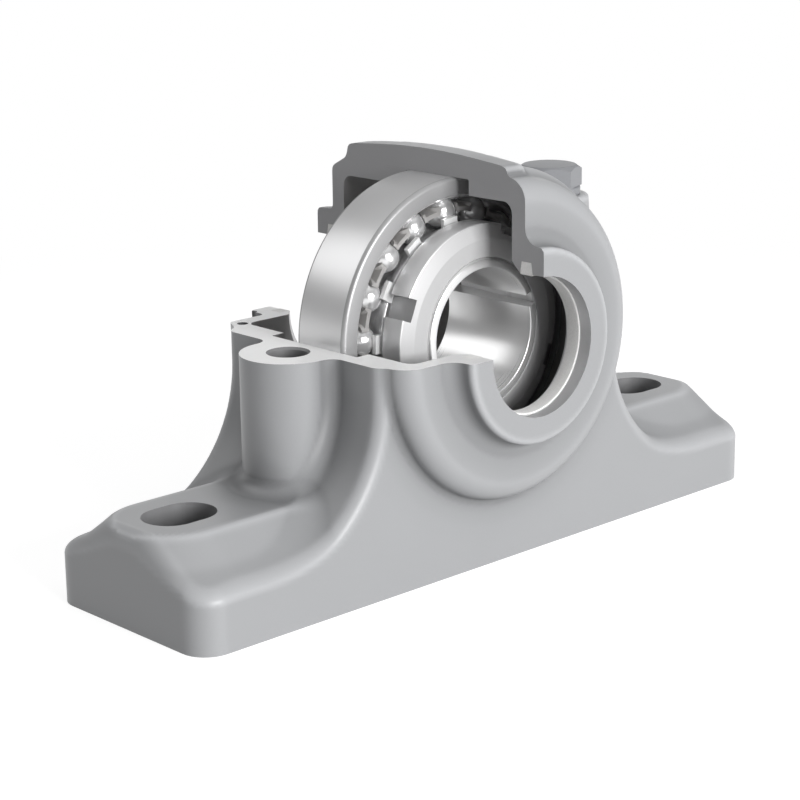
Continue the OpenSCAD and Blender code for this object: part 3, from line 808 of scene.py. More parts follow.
def casting_mesh(name, rule, low, high, step, cutters, materials):
    """Skin over a rule, then the machined cuts, then exact normals on the skin."""
    points, faces = skin_over(rule, low, high, step)
    mesh = mesh_of(name + "_rough", points, faces.tolist(), materials)
    mesh = carve(mesh, cutters)
    mesh.name = name
    mesh.shade_smooth()
    mesh.set_sharp_from_angle(angle=math.radians(MILLED_ANGLE))
    corner_normals = np.empty(len(mesh.loops) * 3, np.float32)
    mesh.corner_normals.foreach_get("vector", corner_normals)
    corner_normals = corner_normals.reshape(-1, 3)
    spots = np.empty(len(mesh.vertices) * 3, np.float32)
    mesh.vertices.foreach_get("co", spots)
    spots = spots.reshape(-1, 3).astype(float) / MM
    slope = gradient(rule, spots)
    slope /= np.maximum(np.linalg.norm(slope, axis=1), 1e-6)[:, None]
    index = np.empty(len(mesh.loops), np.int32)
    mesh.loops.foreach_get("vertex_index", index)
    tones = np.empty(len(mesh.polygons), np.int32)
    sizes = np.empty(len(mesh.polygons), np.int32)
    mesh.polygons.foreach_get("material_index", tones)
    mesh.polygons.foreach_get("loop_total", sizes)
    on_skin = np.repeat(tones == SKIN, sizes)
    corner_normals[on_skin] = slope[index[on_skin]]
    mesh.normals_split_custom_set(corner_normals.tolist())
    # Painted light: a painted highlight on outer edges and painted shade in hollows and where the casting
    # closes in
    painted_light = BEND_SCALE * bend_of(rule, spots) - SHADE_SCALE * shade_of(rule, spots, slope)
    painted_light = np.clip(painted_light, -1, 1).astype(np.float32)
    mesh.attributes.new("painted_light", "FLOAT", "POINT").data.foreach_set("value", painted_light)
    print(f"{name}: bend from {painted_light.min():.2f} to {painted_light.max():.2f}")
    return mesh


# %% [markdown]
# The lower casting is a long foot slab with hollow sloping sides, a body that sweeps
# up from it in two large round hollows, two upright bolt columns, and the round
# end walls and seal bosses that stand proud of the body. Each is one line of the
# rule, with the fillet that joins it. The back of the end walls is sharper than the
# front and leans in as a cone, as the sawn section shows.

# %% Sizes of the lower casting
BASE_LENGTH, BASE_WIDTH, CORNER = 205.0, 60.0, 7.5
FOOT_TOP, FOOT_RIM, PAD_HALF, PAD_END_X = 25.5, 14.0, 15.0, 87.5
CASTING_EDGE, PAD_EDGE, HOLLOW = 3.5, 0.8, 110.0
BODY_HALF, SWEEP = 44.5, 38.0
BOLT_X, COLUMN_R, COLUMN_TOP_R = 48.5, 12.5, 11.0
DRUM_R, DRUM_HALF, DRUM_EDGE = 42.2, 36.5, 6.0
BOSS_R, BOSS_HALF, BOSS_FILLET, BOSS_EDGE = 25.6, 43.0, 4.4, 1.5
BACK_EDGE, BACK_FILLET = 1.0, 1.5
BACK_CONE_Y, BACK_CONE_R, BACK_CONE_LEAN = 30.5, 41.0, math.radians(28.0)
BODY_FILLET, COLUMN_FILLET, DRUM_FILLET = 5.0, 4.0, 1.5
MILLING = 1.5

# The hollow slope is a circle through the pad's edge and the foot's rim
pad_edge, foot_rim = np.array([PAD_HALF, FOOT_TOP]), np.array([BASE_WIDTH / 2, FOOT_RIM])
chord = foot_rim - pad_edge
rise = math.sqrt(HOLLOW ** 2 - float(chord @ chord) / 4) / np.linalg.norm(chord)
HOLLOW_AT = (pad_edge + foot_rim) / 2 + rise * np.array([-chord[1], chord[0]])
print("hollow slope turns about", HOLLOW_AT.round(1), "mm")

# %% Forms of the lower casting


def drum_form(x, y, z):
    """End walls and seal bosses round the shaft."""
    radius, along = np.hypot(x, z - SHAFT_HEIGHT), np.abs(y)
    cone = ((y - BACK_CONE_Y) * math.sin(BACK_CONE_LEAN)
            + (radius - BACK_CONE_R) * math.cos(BACK_CONE_LEAN))
    walls = trim_round(np.maximum(radius - DRUM_R, cone), along - DRUM_HALF,
                       np.where(y < 0, DRUM_EDGE, BACK_EDGE))
    bosses = trim_round(radius - BOSS_R, along - BOSS_HALF, BOSS_EDGE)
    return join_round(walls, bosses, np.where(y < 0, BOSS_FILLET, BACK_FILLET))


def base_form(x, y, z):
    """The whole lower casting before it is machined."""
    ax, ay = np.abs(x), np.abs(y)
    from_pad = np.hypot(np.maximum(ax - PAD_END_X, 0), y)
    slope = HOLLOW - np.hypot(from_pad - HOLLOW_AT[0], z - HOLLOW_AT[1])
    slab = trim_round(slope, z - FOOT_TOP, PAD_EDGE)
    sweep_x, sweep_z = BODY_HALF + SWEEP, FOOT_RIM + SWEEP
    swept = SWEEP - np.hypot(ax - sweep_x, z - sweep_z)
    body = np.where(z > sweep_z, ax - BODY_HALF, np.where(ax > sweep_x, z - FOOT_RIM, swept))
    block = join_round(slab, body, BODY_FILLET)
    column = np.hypot(ax - BOLT_X, y) - COLUMN_R
    wx, wy = ax - BASE_LENGTH / 2 + CORNER, ay - BASE_WIDTH / 2 + CORNER
    past_corner = np.hypot(np.maximum(wx, 0), np.maximum(wy, 0))
    wall = past_corner + np.minimum(np.maximum(wx, wy), 0) - CORNER
    block = trim_round(block, wall, CASTING_EDGE)
    block = join_round(block, column, COLUMN_FILLET)
    block = join_round(block, drum_form(x, y, z), DRUM_FILLET)
    return np.maximum(block, np.abs(z - SHAFT_HEIGHT / 2) - SHAFT_HEIGHT / 2 - MILLING)


# %% [markdown]
# The machine shop then works on the casting: the joint face is milled, the seat,
# the grease pockets and the seal bores are turned, and the holes are drilled. Each
# tool below is a closed mesh with its own finishes, so the faces that it leaves
# come out bright, bored, or dark with painted shade by themselves. Painting the faces
# afterwards would need a search for them in each new mesh.

# %% Milling and turning tools
FAR = 400.0
SEAT_R, SEAT_HALF, POCKET_R, POCKET_HALF, POCKET_CORNER = 40.0, 16.5, 35.8, 31.9, 3.0
SEAL_R, BEVEL, GROOVE_AT, GROOVE_MOUTH, GROOVE_ROOT, GROOVE_DEPTH = 18.25, 2.6, 37.0, 4.4, 3.4, 3.0


def block_tool(low, high, tone):
    """Rectangular block between two corners, as a milling cutter's sweep."""
    (x0, y0, z0), (x1, y1, z1) = low, high
    plan = [(x0, y0), (x1, y0), (x1, y1), (x0, y1)]
    return prism("block_tool", plan, z0, z1, CASTING_FINISHES, tone)


def turning_tool():
    """Everything that is turned out of both castings, as one outline."""
    half = [(0.0, BOSS_HALF + 3, 0, BORED), (SEAL_R, BOSS_HALF + 3, 0, BORED),
            (SEAL_R, GROOVE_AT + GROOVE_MOUTH / 2, 0, BORED),
            (SEAL_R + GROOVE_DEPTH, GROOVE_AT + GROOVE_ROOT / 2, 0, BORED),
            (SEAL_R + GROOVE_DEPTH, GROOVE_AT - GROOVE_ROOT / 2, 0, BORED),
            (SEAL_R, GROOVE_AT - GROOVE_MOUTH / 2, 0, BORED),
            (SEAL_R, POCKET_HALF + BEVEL, 0, BORED),
            (SEAL_R + BEVEL, POCKET_HALF, 0, POCKET),
            (POCKET_R, POCKET_HALF, POCKET_CORNER, POCKET),
            (POCKET_R, SEAT_HALF, 0, POCKET),
            (SEAT_R, SEAT_HALF, 0.4, BORED)]
    other = []
    for i in range(len(half) - 1, -1, -1):
        radius_here, along, size, _ = half[i]
        tone = half[i - 1][3] if i else BORED
        other.append((radius_here, -along, size, tone))
    return turned_mesh("turning_tool", half + other, CASTING_FINISHES, 192, steps=6)


turning = turning_tool()
print("turning tool:", len(turning.polygons), "faces")

# %% Drills


def drill(x, y, radius, low, high, chamfer=0.0):
    """Round hole between two heights, with a chamfered mouth if one is asked for."""
    if not chamfer:
        return prism("drill", circle(x, y, radius), low, high, CASTING_FINISHES, HOLE)
    rows = [(radius, low), (radius, high - 2 * chamfer), (radius + 2 * chamfer, high)]
    ring = [circle(x, y, r) for r, _ in rows]
    count = len(ring[0])
    points = [(px, py, z) for outline, (_, z) in zip(ring, rows) for px, py in outline]
    faces = [tuple(range(count - 1, -1, -1)), tuple(range(2 * count, 3 * count))]
    for low_row, high_row in ((0, count), (count, 2 * count)):
        faces += [(low_row + i, low_row + (i + 1) % count, high_row + (i + 1) % count, high_row + i)
                  for i in range(count)]
    return mesh_of("drill", points, faces, CASTING_FINISHES, [HOLE] * len(faces))


# %% [markdown]
# The lower casting gets its milled faces, the turned inside, a shallow hollow under the
# middle, a slot in each foot, a tapped hole in each column and two small holes for
# dowel pins. The photograph also shows a little notch in the joint face beside the
# back boss.

# %% Tools of the lower casting
DOWEL_X, DOWEL_Y, DOWEL_HOLE_R, DOWEL_LOW, DOWEL_HIGH = 36.55, 32.65, 1.52, 53.7, 66.3
SLOT_X, SLOT_LENGTH, SLOT_WIDTH = 85.0, 20.0, 15.0
RELIEF_LENGTH, RELIEF_WIDTH, RELIEF_CORNER, RELIEF_DEPTH = 84.0, 36.0, 8.0, 8.0
NOTCH_R, NOTCH_LOW, NOTCH_INSET = 1.2, 54.0, 1.5
TAP_R, TAP_LOW, TAP_CHAMFER = 5.05, 34.0, 0.6
UNDER, OVER = -5.0, 50.0

base_tools = [
    block_tool((-FAR, -FAR, -FAR), (FAR, FAR, 0.0), MACHINED),
    block_tool((-FAR, -FAR, SHAFT_HEIGHT), (FAR, FAR, FAR), MACHINED),
    turning,
    prism("relief", rounded_plan(RELIEF_LENGTH, RELIEF_WIDTH, RELIEF_CORNER), UNDER, RELIEF_DEPTH,
          CASTING_FINISHES, HOLE),
    prism("notch", circle(-BOSS_R, BOSS_HALF - NOTCH_INSET, NOTCH_R, 24), NOTCH_LOW, SHAFT_HEIGHT + 2.0,
          CASTING_FINISHES, HOLE),
]
for side in (-1, 1):
    plan = long_slot(side * SLOT_X, 0.0, SLOT_LENGTH, SLOT_WIDTH)
    base_tools.append(prism("slot", plan, UNDER, OVER, CASTING_FINISHES, HOLE))
    base_tools.append(drill(side * BOLT_X, 0.0, TAP_R, TAP_LOW, SHAFT_HEIGHT + TAP_CHAMFER, TAP_CHAMFER))
    base_tools.append(drill(side * DOWEL_X, -side * DOWEL_Y, DOWEL_HOLE_R, DOWEL_LOW, SHAFT_HEIGHT + 1.0))
print("tools of the lower casting:", len(base_tools))

# %% Lower casting
BASE_LOW, BASE_HIGH, BASE_CELL = (-105.0, -46.0, -4.0), (105.0, 46.0, 64.0), 1.1

base_mesh = casting_mesh("lower_casting", base_form, BASE_LOW, BASE_HIGH, BASE_CELL, base_tools,
                         CASTING_FINISHES)
place_piece("lower_casting", base_mesh, "housing", "housing_base")

# %% [markdown]
# The cap is the upper half of the same drum, with a round body, an arched pad on
# top, and a conical column for the bolt at the right, joined by a web. Its left half
# is sawn away, and the sawn face is a flat plane through the shaft. It shares the
# drum's rule and the turning tool with the lower casting, so the two meet exactly at
# the joint, as castings that are bored together do.

# %% Forms of the cap
CREST, CREST_HALF, ARCH_R, ARCH_EDGE, CREST_EDGE, CREST_FILLET = 46.5, 7.0, 220.0, 1.2, 1.0, 1.2
SEAT_Z, SEAT_EDGE, WEB_HALF, WEB_FILLET = 88.3, 1.0, 9.0, 2.5


def cap_form(x, y, z):
    """The whole cap before it is machined and sawn."""
    radius, ay, rise = np.hypot(x, z - SHAFT_HEIGHT), np.abs(y), z - SHAFT_HEIGHT
    disc = trim_round(radius - BODY_HALF, ay - BASE_WIDTH / 2, CASTING_EDGE)
    arch = np.hypot(y, rise - CREST + ARCH_R) - ARCH_R
    pad = trim_round(trim_round(arch, ay - BASE_WIDTH / 2, ARCH_EDGE), np.abs(x) - CREST_HALF, CREST_EDGE)
    shell = join_round(join_round(disc, pad, CREST_FILLET), drum_form(x, y, z), DRUM_FILLET)
    slope = (COLUMN_R - COLUMN_TOP_R) / (SEAT_Z - SHAFT_HEIGHT)
    column = np.hypot(x - BOLT_X, y) - COLUMN_R + slope * rise
    column = trim_round(column, z - SEAT_Z, SEAT_EDGE)
    web = trim_round(np.maximum(ay - WEB_HALF, x - BOLT_X), z - SEAT_Z + 1.0, SEAT_EDGE)
    solid = join_round(join_round(column, web, WEB_FILLET), shell, COLUMN_FILLET)
    return np.maximum(np.maximum(solid, SHAFT_HEIGHT - MILLING - z), -MILLING - x)


# %% Cap casting
CAP_LOW, CAP_HIGH, CAP_CELL = (-4.0, -46.0, 56.0), (64.0, 46.0, 110.0), 1.0
BOLT_HOLE_R = 5.5

cap_tools = [
    block_tool((-FAR, -FAR, -FAR), (FAR, FAR, SHAFT_HEIGHT), MACHINED),
    turning,
    drill(BOLT_X, 0.0, BOLT_HOLE_R, SHAFT_HEIGHT - 20.0, SHAFT_HEIGHT * 2),
    drill(DOWEL_X, -DOWEL_Y, DOWEL_HOLE_R, SHAFT_HEIGHT - 10.0, DOWEL_HIGH),
    block_tool((-FAR, -FAR, -FAR), (0.0, FAR, FAR), SECTION),
]
cap_mesh = casting_mesh("cap_casting", cap_form, CAP_LOW, CAP_HIGH, CAP_CELL, cap_tools, CASTING_FINISHES)
place_piece("cap_casting", cap_mesh, "housing", "housing_cap")

# %% [markdown]
# The bearing aligns itself: two rows of balls run in a raceway that is a hollow sphere,
# so the inner ring may tilt. All its pieces share one small set of sizes, from which
# the sphere, the tracks and the cage are worked out, so they can't drift apart.

# %% Sizes of the bearing
BEARING_AT, BEARING_HALF = -2.5, 9.0
BALL_R, BALL_CIRCLE, ROW_OFFSET = 8.731 / 2, 30.8, 4.6
BALLS, FIRST_BALL, BALL_PLAY = 17, 72.0, 0.1
bearing_front, bearing_rear = BEARING_AT - BEARING_HALF, BEARING_AT + BEARING_HALF
SPHERE_R = math.hypot(BALL_CIRCLE, ROW_OFFSET) + BALL_R + BALL_PLAY
print("raceway sphere:", round(2 * SPHERE_R, 2), "mm across")

# %% [markdown]
# The outer ring is ground outside and hollow inside. The hollow's outline is worked out
# from the sphere at a row of points. A sphere cut out by a Boolean would do as well,
# but a turned outline keeps its rows of faces even, and so its mirror lines clean.

# %% Outer ring
RACE_CHAMFER, RACE_STEPS, MOUTH_EDGE = 0.9, 24, 0.15
SEAT_PLAY, RING_EDGE = 0.02, 1.1

race_mouth = math.sqrt(SPHERE_R ** 2 - BEARING_HALF ** 2) + RACE_CHAMFER
outer_corners = [(SEAT_R - SEAT_PLAY, bearing_front, RING_EDGE, 1),
                 (SEAT_R - SEAT_PLAY, bearing_front + RING_EDGE + 0.1, 0),
                 (SEAT_R - SEAT_PLAY, bearing_rear, RING_EDGE, 1),
                 (race_mouth, bearing_rear, MOUTH_EDGE)]
for i in range(1, RACE_STEPS):
    along = BEARING_HALF * (1 - 2 * i / RACE_STEPS)
    outer_corners.append((math.sqrt(SPHERE_R ** 2 - along ** 2), BEARING_AT + along, 0))
outer_corners.append((race_mouth, bearing_front, MOUTH_EDGE, 1))
outer_mesh = turned_mesh("outer_ring_turned", outer_corners, [ground_steel, ring_face], 256, steps=5)
place_piece("outer_ring_turned", outer_mesh, "housing", "outer_ring")

# %% [markdown]
# The inner ring has a deep track for each row, a rib between them, and a bore whose
# diameter grows by 1 in 12, to sit on the sleeve's cone. Each track is an arc about its
# row's ball centres with a little play, which is how the ring is ground.

# %% Inner ring with its two ball tracks
TAPER, CONE_R = 1 / 24, 20.0
SHOULDER_R, RIB_R, SHOULDER_EDGE, BORE_EDGE = 26.9, 28.0, 0.6, 0.4


def taper_radius(along):
    """Radius of the sleeve's cone."""
    return CONE_R + (along - bearing_front) * TAPER


track = BALL_R + BALL_PLAY
lip = math.sqrt(track ** 2 - (BALL_CIRCLE - SHOULDER_R) ** 2)
rib_lip = math.sqrt(track ** 2 - (BALL_CIRCLE - RIB_R) ** 2)


def track_arc(row, first, last, count=12):
    """Points of a ball track between two distances from its middle."""
    made = []
    for k in range(count + 1):
        t = first + (last - first) * k / count
        made.append((BALL_CIRCLE - math.sqrt(track ** 2 - t ** 2), BEARING_AT + row * ROW_OFFSET + t, 0))
    return made


inner_corners = [(taper_radius(bearing_front) + SEAT_PLAY, bearing_front, BORE_EDGE),
                 (SHOULDER_R, bearing_front, SHOULDER_EDGE)]
inner_corners += track_arc(-1, -lip, min(rib_lip, ROW_OFFSET))
inner_corners += track_arc(1, -min(rib_lip, ROW_OFFSET), lip)
inner_corners += [(SHOULDER_R, bearing_rear, SHOULDER_EDGE),
                  (taper_radius(bearing_rear) + SEAT_PLAY, bearing_rear, BORE_EDGE)]
inner_mesh = turned_mesh("inner_ring_turned", inner_corners, [ground_steel], 192)
place_piece("inner_ring_turned", inner_mesh, "shaft_group", "inner_ring")

# %% [markdown]
# Each row of balls is one mesh of separate spheres, as the row is one node of the
# measured frame. Icospheres are chosen over Blender's UV spheres, because they have no
# poles that would show in a mirror finish. The back row stands half a step on.

# %% Balls


def ball_angles(row):
    """Angles of one row's balls. The row is -1 in front and 1 behind."""
    step = 360.0 / BALLS
    return [FIRST_BALL + (step / 2 if row > 0 else 0.0) + i * step for i in range(BALLS)]


for row, name in ((-1, "front"), (1, "back")):
    work = bmesh.new()
    for angle in ball_angles(row):
        place = Vector(on_shaft(BALL_CIRCLE, BEARING_AT + row * ROW_OFFSET, angle)) * MM
        bmesh.ops.create_icosphere(work, subdivisions=4, radius=BALL_R * MM, matrix=Matrix.Translation(place))
    mesh = bpy.data.meshes.new(f"balls_{name}_polished")
    work.to_mesh(mesh)
    work.free()
    mesh.shade_smooth()
    mesh.materials.append(ball_polish)
    place_piece(f"balls_{name}_polished", mesh, "rolling_set", f"balls_{name}_row")

# %% [markdown]
# The cage is pressed from sheet. It is a round band between the balls and the outer
# ring, and beside each ball the sheet bends in and grips the ball in a hollow
# finger. Bending a flat sheet in Blender would stretch it unevenly. So it is made as a
# band and a thin bowl for each ball, joined, trimmed to the band's depth, and then
# cleared where the ball and its front stand.

# %% Tools of the cage
CAGE_IN, CAGE_OUT, CAGE_ROOT, CAGE_HALF, SHEET = 32.0, 33.1, 30.8, 8.2, 0.75
POCKET_CLEAR, GRIP = 0.22, 2.9
WINDOW_SET, WINDOW_LENGTH, WINDOW_REACH = 1.0, 9.0, 12.0
CAGE_SHARP_ANGLE = 40.0


def sphere_mesh(name, centre, size):
    """Sphere of the cage's sheet about a ball's centre."""
    work = bmesh.new()
    bmesh.ops.create_icosphere(work, subdivisions=4, radius=size * MM,
                               matrix=Matrix.Translation(Vector(centre) * MM))
    mesh = bpy.data.meshes.new(name)
    work.to_mesh(mesh)
    work.free()
    mesh.materials.append(cage_sheet_steel)
    return mesh


def joined(name, meshes):
    """One mesh of several separate closed ones."""
    work = bmesh.new()
    for mesh in meshes:
        work.from_mesh(mesh)
    made = bpy.data.meshes.new(name)
    work.to_mesh(made)
    work.free()
    made.materials.append(cage_sheet_steel)
    return made


def arc_corners(size, first, last, count=16):
    """Points of a circle round the bearing's middle between two places along the shaft."""
    made = []
    for k in range(count + 1):
        along = first + (last - first) * k / count
        made.append((math.sqrt(size ** 2 - along ** 2), BEARING_AT + along, 0))
    return made


# %% Cage
band_corners = arc_corners(CAGE_OUT, -CAGE_HALF, CAGE_HALF) + arc_corners(CAGE_IN, CAGE_HALF, -CAGE_HALF)
band = turned_mesh("band", band_corners, [cage_sheet_steel], 240)
bowls, hollows, windows = [], [], []
for row in (-1, 1):
    for angle in ball_angles(row):
        centre = on_shaft(BALL_CIRCLE, BEARING_AT + row * ROW_OFFSET, angle)
        bowls.append(sphere_mesh("bowl", centre, BALL_R + POCKET_CLEAR + SHEET))
        hollows.append(sphere_mesh("hollow", centre, BALL_R + POCKET_CLEAR))
        near = BEARING_AT + row * (ROW_OFFSET + WINDOW_SET)
        far = near + row * WINDOW_LENGTH
        windows.append(box_round("window", BALL_CIRCLE - WINDOW_REACH, BALL_CIRCLE + WINDOW_REACH,
                                 min(near, far), max(near, far), 2 * GRIP, angle, cage_sheet_steel))
slab = turned_mesh("slab", [(CAGE_ROOT, BEARING_AT - CAGE_HALF, 0), (CAGE_OUT, BEARING_AT - CAGE_HALF, 0),
                            (CAGE_OUT, BEARING_AT + CAGE_HALF, 0), (CAGE_ROOT, BEARING_AT + CAGE_HALF, 0)],
                   [cage_sheet_steel], 240)
cage_mesh = carve(band, bowls, "UNION")
cage_mesh = carve(cage_mesh, [slab], "INTERSECT")
cage_mesh = carve(cage_mesh, [joined("front_windows", windows[:BALLS]),
                              joined("back_windows", windows[BALLS:])])
cage_mesh = carve(cage_mesh, hollows)
clean_mesh(cage_mesh, CAGE_SHARP_ANGLE)
place_piece("cage_pressed", cage_mesh, "rolling_set", "cage")

# %% [markdown]
# The adapter sleeve is a thin cone with one slit along its length: when the nut draws
# it into the bearing, it closes on the shaft. Its bore is the brightest steel in the
# picture, so it is turned with small bevels at both mouths, which catch the light, and
# many faces round, which keep the mirror lines smooth. The slit is cut out afterwards,
# as it is sawn in the real one.

# %% Adapter sleeve
SHAFT_R, THREAD_R = 17.5, 20.0
SLEEVE_FRONT, SLEEVE_REAR = -22.25, 8.75
SLIT_WIDTH, SLIT_ANGLE = 3.6, 20.5

sleeve_corners = [(SHAFT_R, SLEEVE_FRONT, 0.3), (THREAD_R, SLEEVE_FRONT, 0.7),
                  (THREAD_R, bearing_front, 0), (taper_radius(SLEEVE_REAR), SLEEVE_REAR, 0.4),
                  (SHAFT_R, SLEEVE_REAR, 0.3)]
sleeve_mesh = turned_mesh("sleeve_turned", sleeve_corners, [sleeve_steel], 256)
slit = box_round("slit", 10.0, 30.0, -40.0, 40.0, SLIT_WIDTH, SLIT_ANGLE, sleeve_steel)
sleeve_mesh = carve(sleeve_mesh, [slit])
clean_mesh(sleeve_mesh)
place_piece("sleeve_turned", sleeve_mesh, "shaft_group", "adapter_sleeve")

# %% [markdown]
# The lock nut is a ring with a wide bevel towards the viewer and four slots for the
# spanner. Its face has a finish of its own, which is tone 1 of the outline, because
# it is turned while the rim is ground. The slots are straight blocks, cut one by one.

# %% Lock nut
NUT_R, NUT_FACE_R, NUT_FRONT, NUT_REAR = 29.0, 25.0, -21.75, -12.75
NUT_SLOTS, NUT_SLOT_ANGLE, NUT_SLOT_WIDTH, NUT_SLOT_DEPTH = 4, 68.0, 6.0, 2.5
NUT_BORE_R, NUT_BEVEL, NUT_BACK_BEVEL = THREAD_R + 0.05, 1.25, 1.4

nut_corners = [(NUT_BORE_R, NUT_FRONT, 0.5, 1), (NUT_FACE_R, NUT_FRONT, 0.4, 1),
               (NUT_R, NUT_FRONT + NUT_BEVEL, 0.4), (NUT_R, NUT_REAR - NUT_BACK_BEVEL, 0.3),
               (NUT_R - NUT_BACK_BEVEL, NUT_REAR, 0.3), (NUT_BORE_R, NUT_REAR, 0.3)]
nut_mesh = turned_mesh("nut_turned", nut_corners, [ground_steel, nut_face], 256)
nut_slots = [box_round("nut_slot", NUT_R - NUT_SLOT_DEPTH, 40.0, -40.0, 0.0, NUT_SLOT_WIDTH,
                       NUT_SLOT_ANGLE + i * 360 / NUT_SLOTS, ring_face) for i in range(NUT_SLOTS)]
nut_mesh = carve(nut_mesh, nut_slots)
clean_mesh(nut_mesh)
place_piece("nut_turned", nut_mesh, "shaft_group", "lock_nut")

# %% [markdown]
# The tab washer is cut from sheet and lies behind the nut. Twelve of its tabs stay
# flat, and the thirteenth is bent over into a slot, so that the nut can't turn back.
# The ring and the tabs are joined by a Boolean, since tabs that only touch would leave
# hidden faces inside the sheet.

# %% Tab washer
TAB_SHEET, TABS, TAB_WIDTH, TAB_R, TAB_ROOT, TAB_INNER = 1.25, 13, 4.9, 30.0, 25.0, 23.0
TAB_RING_R, TAB_EDGE, TAB_LAP = THREAD_R + 0.3, 0.15, 4.5

tab_rear = NUT_REAR + TAB_SHEET
tab_corners = [(TAB_RING_R, NUT_REAR, TAB_EDGE), (TAB_ROOT, NUT_REAR, TAB_EDGE),
               (TAB_ROOT, tab_rear, TAB_EDGE), (TAB_RING_R, tab_rear, TAB_EDGE)]
tab_ring = turned_mesh("tab_ring", tab_corners, [tab_sheet_steel], 192, steps=2)
tabs = [box_round("tab", TAB_INNER, TAB_R, NUT_REAR, tab_rear, TAB_WIDTH,
                  NUT_SLOT_ANGLE + i * 360 / TABS, tab_sheet_steel) for i in range(1, TABS)]
fold_r = NUT_R - NUT_SLOT_DEPTH + 0.3
tabs += [box_round("tab", TAB_INNER, fold_r + TAB_SHEET, NUT_REAR, tab_rear, TAB_WIDTH, NUT_SLOT_ANGLE,
                   tab_sheet_steel),
         box_round("tab", fold_r, fold_r + TAB_SHEET, NUT_REAR - TAB_LAP, NUT_REAR + TAB_SHEET / 2,
                   TAB_WIDTH, NUT_SLOT_ANGLE, tab_sheet_steel)]
washer_mesh = carve(tab_ring, tabs, "UNION")
clean_mesh(washer_mesh)
place_piece("tab_washer_pressed", washer_mesh, "shaft_group", "lock_washer")

# %% [markdown]
# Felt strips fill the seal grooves of both castings and keep dust off the bearing. Each
# is a part turn of the groove's own outline, a little smaller all round: a half turn in
# the lower casting, and a quarter turn in what is left of the cap.

# %% Felt strips
STAND, FELT_CLEAR, FELT_EDGE, FELT_ROOT_EDGE = 0.4, 0.05, 0.25, 0.1


def felt_corners(side):
    """Outline of a strip. The side is -1 in front and 1 behind."""
    middle = side * GROOVE_AT
    mouth, root = GROOVE_MOUTH / 2 - FELT_CLEAR, GROOVE_ROOT / 2 - FELT_CLEAR
    inner, outer = SEAL_R - STAND, SEAL_R + GROOVE_DEPTH - FELT_CLEAR
    return [(inner, middle - mouth, FELT_EDGE), (SEAL_R, middle - mouth, 0),
            (outer, middle - root, FELT_ROOT_EDGE), (outer, middle + root, FELT_ROOT_EDGE),
            (SEAL_R, middle + mouth, 0), (inner, middle + mouth, FELT_EDGE)]


for side, name in ((-1, "front"), (1, "back")):
    for part_name, start, sweep, count in (("lower", 180.0, 180.0, 96), ("upper", 0.0, 90.0, 48)):
        mesh = turned_mesh("felt", felt_corners(side), [felt_wool], count, start, sweep)
        place_piece(f"felt_{name}_{part_name}", mesh, "housing", f"seal_strip_{name}_{part_name}")

# %% [markdown]
# The locating ring fills the seat behind the bearing, so that the bearing can't slide
# along the shaft. It is open, to be sprung into place, so it is a part turn too. Its
# cut ends get the plain finish of the sawn faces.

# %% Locating ring
RING_START, RING_SWEEP, LOCATING_EDGE = -130.0, 220.0, 0.3

ring_corners = [(POCKET_R, bearing_rear, LOCATING_EDGE), (SEAT_R - SEAT_PLAY, bearing_rear, LOCATING_EDGE),
                (SEAT_R - SEAT_PLAY, SEAT_HALF, LOCATING_EDGE), (POCKET_R, SEAT_HALF, LOCATING_EDGE)]
ring_mesh = turned_mesh("locating_ring_turned", ring_corners, [turned_steel, section_face], 192,
                        RING_START, RING_SWEEP, end_tone=1)
place_piece("locating_ring_turned", ring_mesh, "housing", "locating_ring")

# %% [markdown]
# The cap bolt's head is a forged hexagon whose corners are turned off in a cone, so it
# is a six-sided block that is cut to what it shares with a turned cone. The shank below
# it carries a real thread, though the castings hide it: the lathe tool's extra rule
# moves the skin in and out along a screw line.

# %% Turning about an upright line


def turned_upright(name, corners, materials, x, y, segments=64, shift=None, steps=3, start=0.0, sweep=360.0):
    """Turns an outline of radius and height round an upright line."""
    mesh = turned_mesh(name, [(r, h, *rest) for r, h, *rest in corners], materials, segments, start, sweep,
                       shift, steps)
    tilt = Matrix.Rotation(math.radians(90), 4, "X")
    mesh.transform(Matrix.Translation(Vector((x, y, 0)) * MM) @ tilt
                   @ Matrix.Translation((0, 0, -SHAFT_HEIGHT * MM)))
    return mesh


# %% Shank of the cap bolt
HEAD_Z, BOLT_R, FLATS, HEAD_HEIGHT, BOLT_LENGTH, HEAD_TURN = 90.5, 5.0, 16.0, 6.0, 50.0, 22.5
PITCH, THREAD_DEPTH, THREAD_LENGTH, THREAD_START, THREAD_END = 1.5, 0.8, 26.0, 1.5, 2.0
SHANK_BEVEL, SHANK_STEP, SHANK_ROWS = 0.8, 0.25, 107


def bolt_thread(radii, heights, angles):
    """Moves the shank's skin in and out along a screw line."""
    low = HEAD_Z - BOLT_LENGTH
    turn = (heights / PITCH + angles / (2 * math.pi)) % 1.0
    wave = np.abs(turn - 0.5) * 2
    begun = np.clip((heights - low) / THREAD_START, 0, 1)
    ended = np.clip((low + THREAD_LENGTH - heights) / THREAD_END, 0, 1)
    on_skin = np.abs(radii - BOLT_R) < 0.01
    return -THREAD_DEPTH * wave * (begun * ended) * on_skin


shank = [(0.0, HEAD_Z - BOLT_LENGTH, 0), (BOLT_R - SHANK_BEVEL, HEAD_Z - BOLT_LENGTH, 0)]
shank += [(BOLT_R, HEAD_Z - BOLT_LENGTH + SHANK_BEVEL + i * SHANK_STEP, 0) for i in range(SHANK_ROWS)]
shank += [(BOLT_R, HEAD_Z + 1.0, 0), (0.0, HEAD_Z + 1.0, 0)]
shank_mesh = turned_upright("shank", shank, [bolt_steel], BOLT_X, 0.0, 48, bolt_thread)
print("shank:", len(shank_mesh.polygons), "faces")

# %% Cap bolt
BOLT_SHARP_ANGLE = 28.0

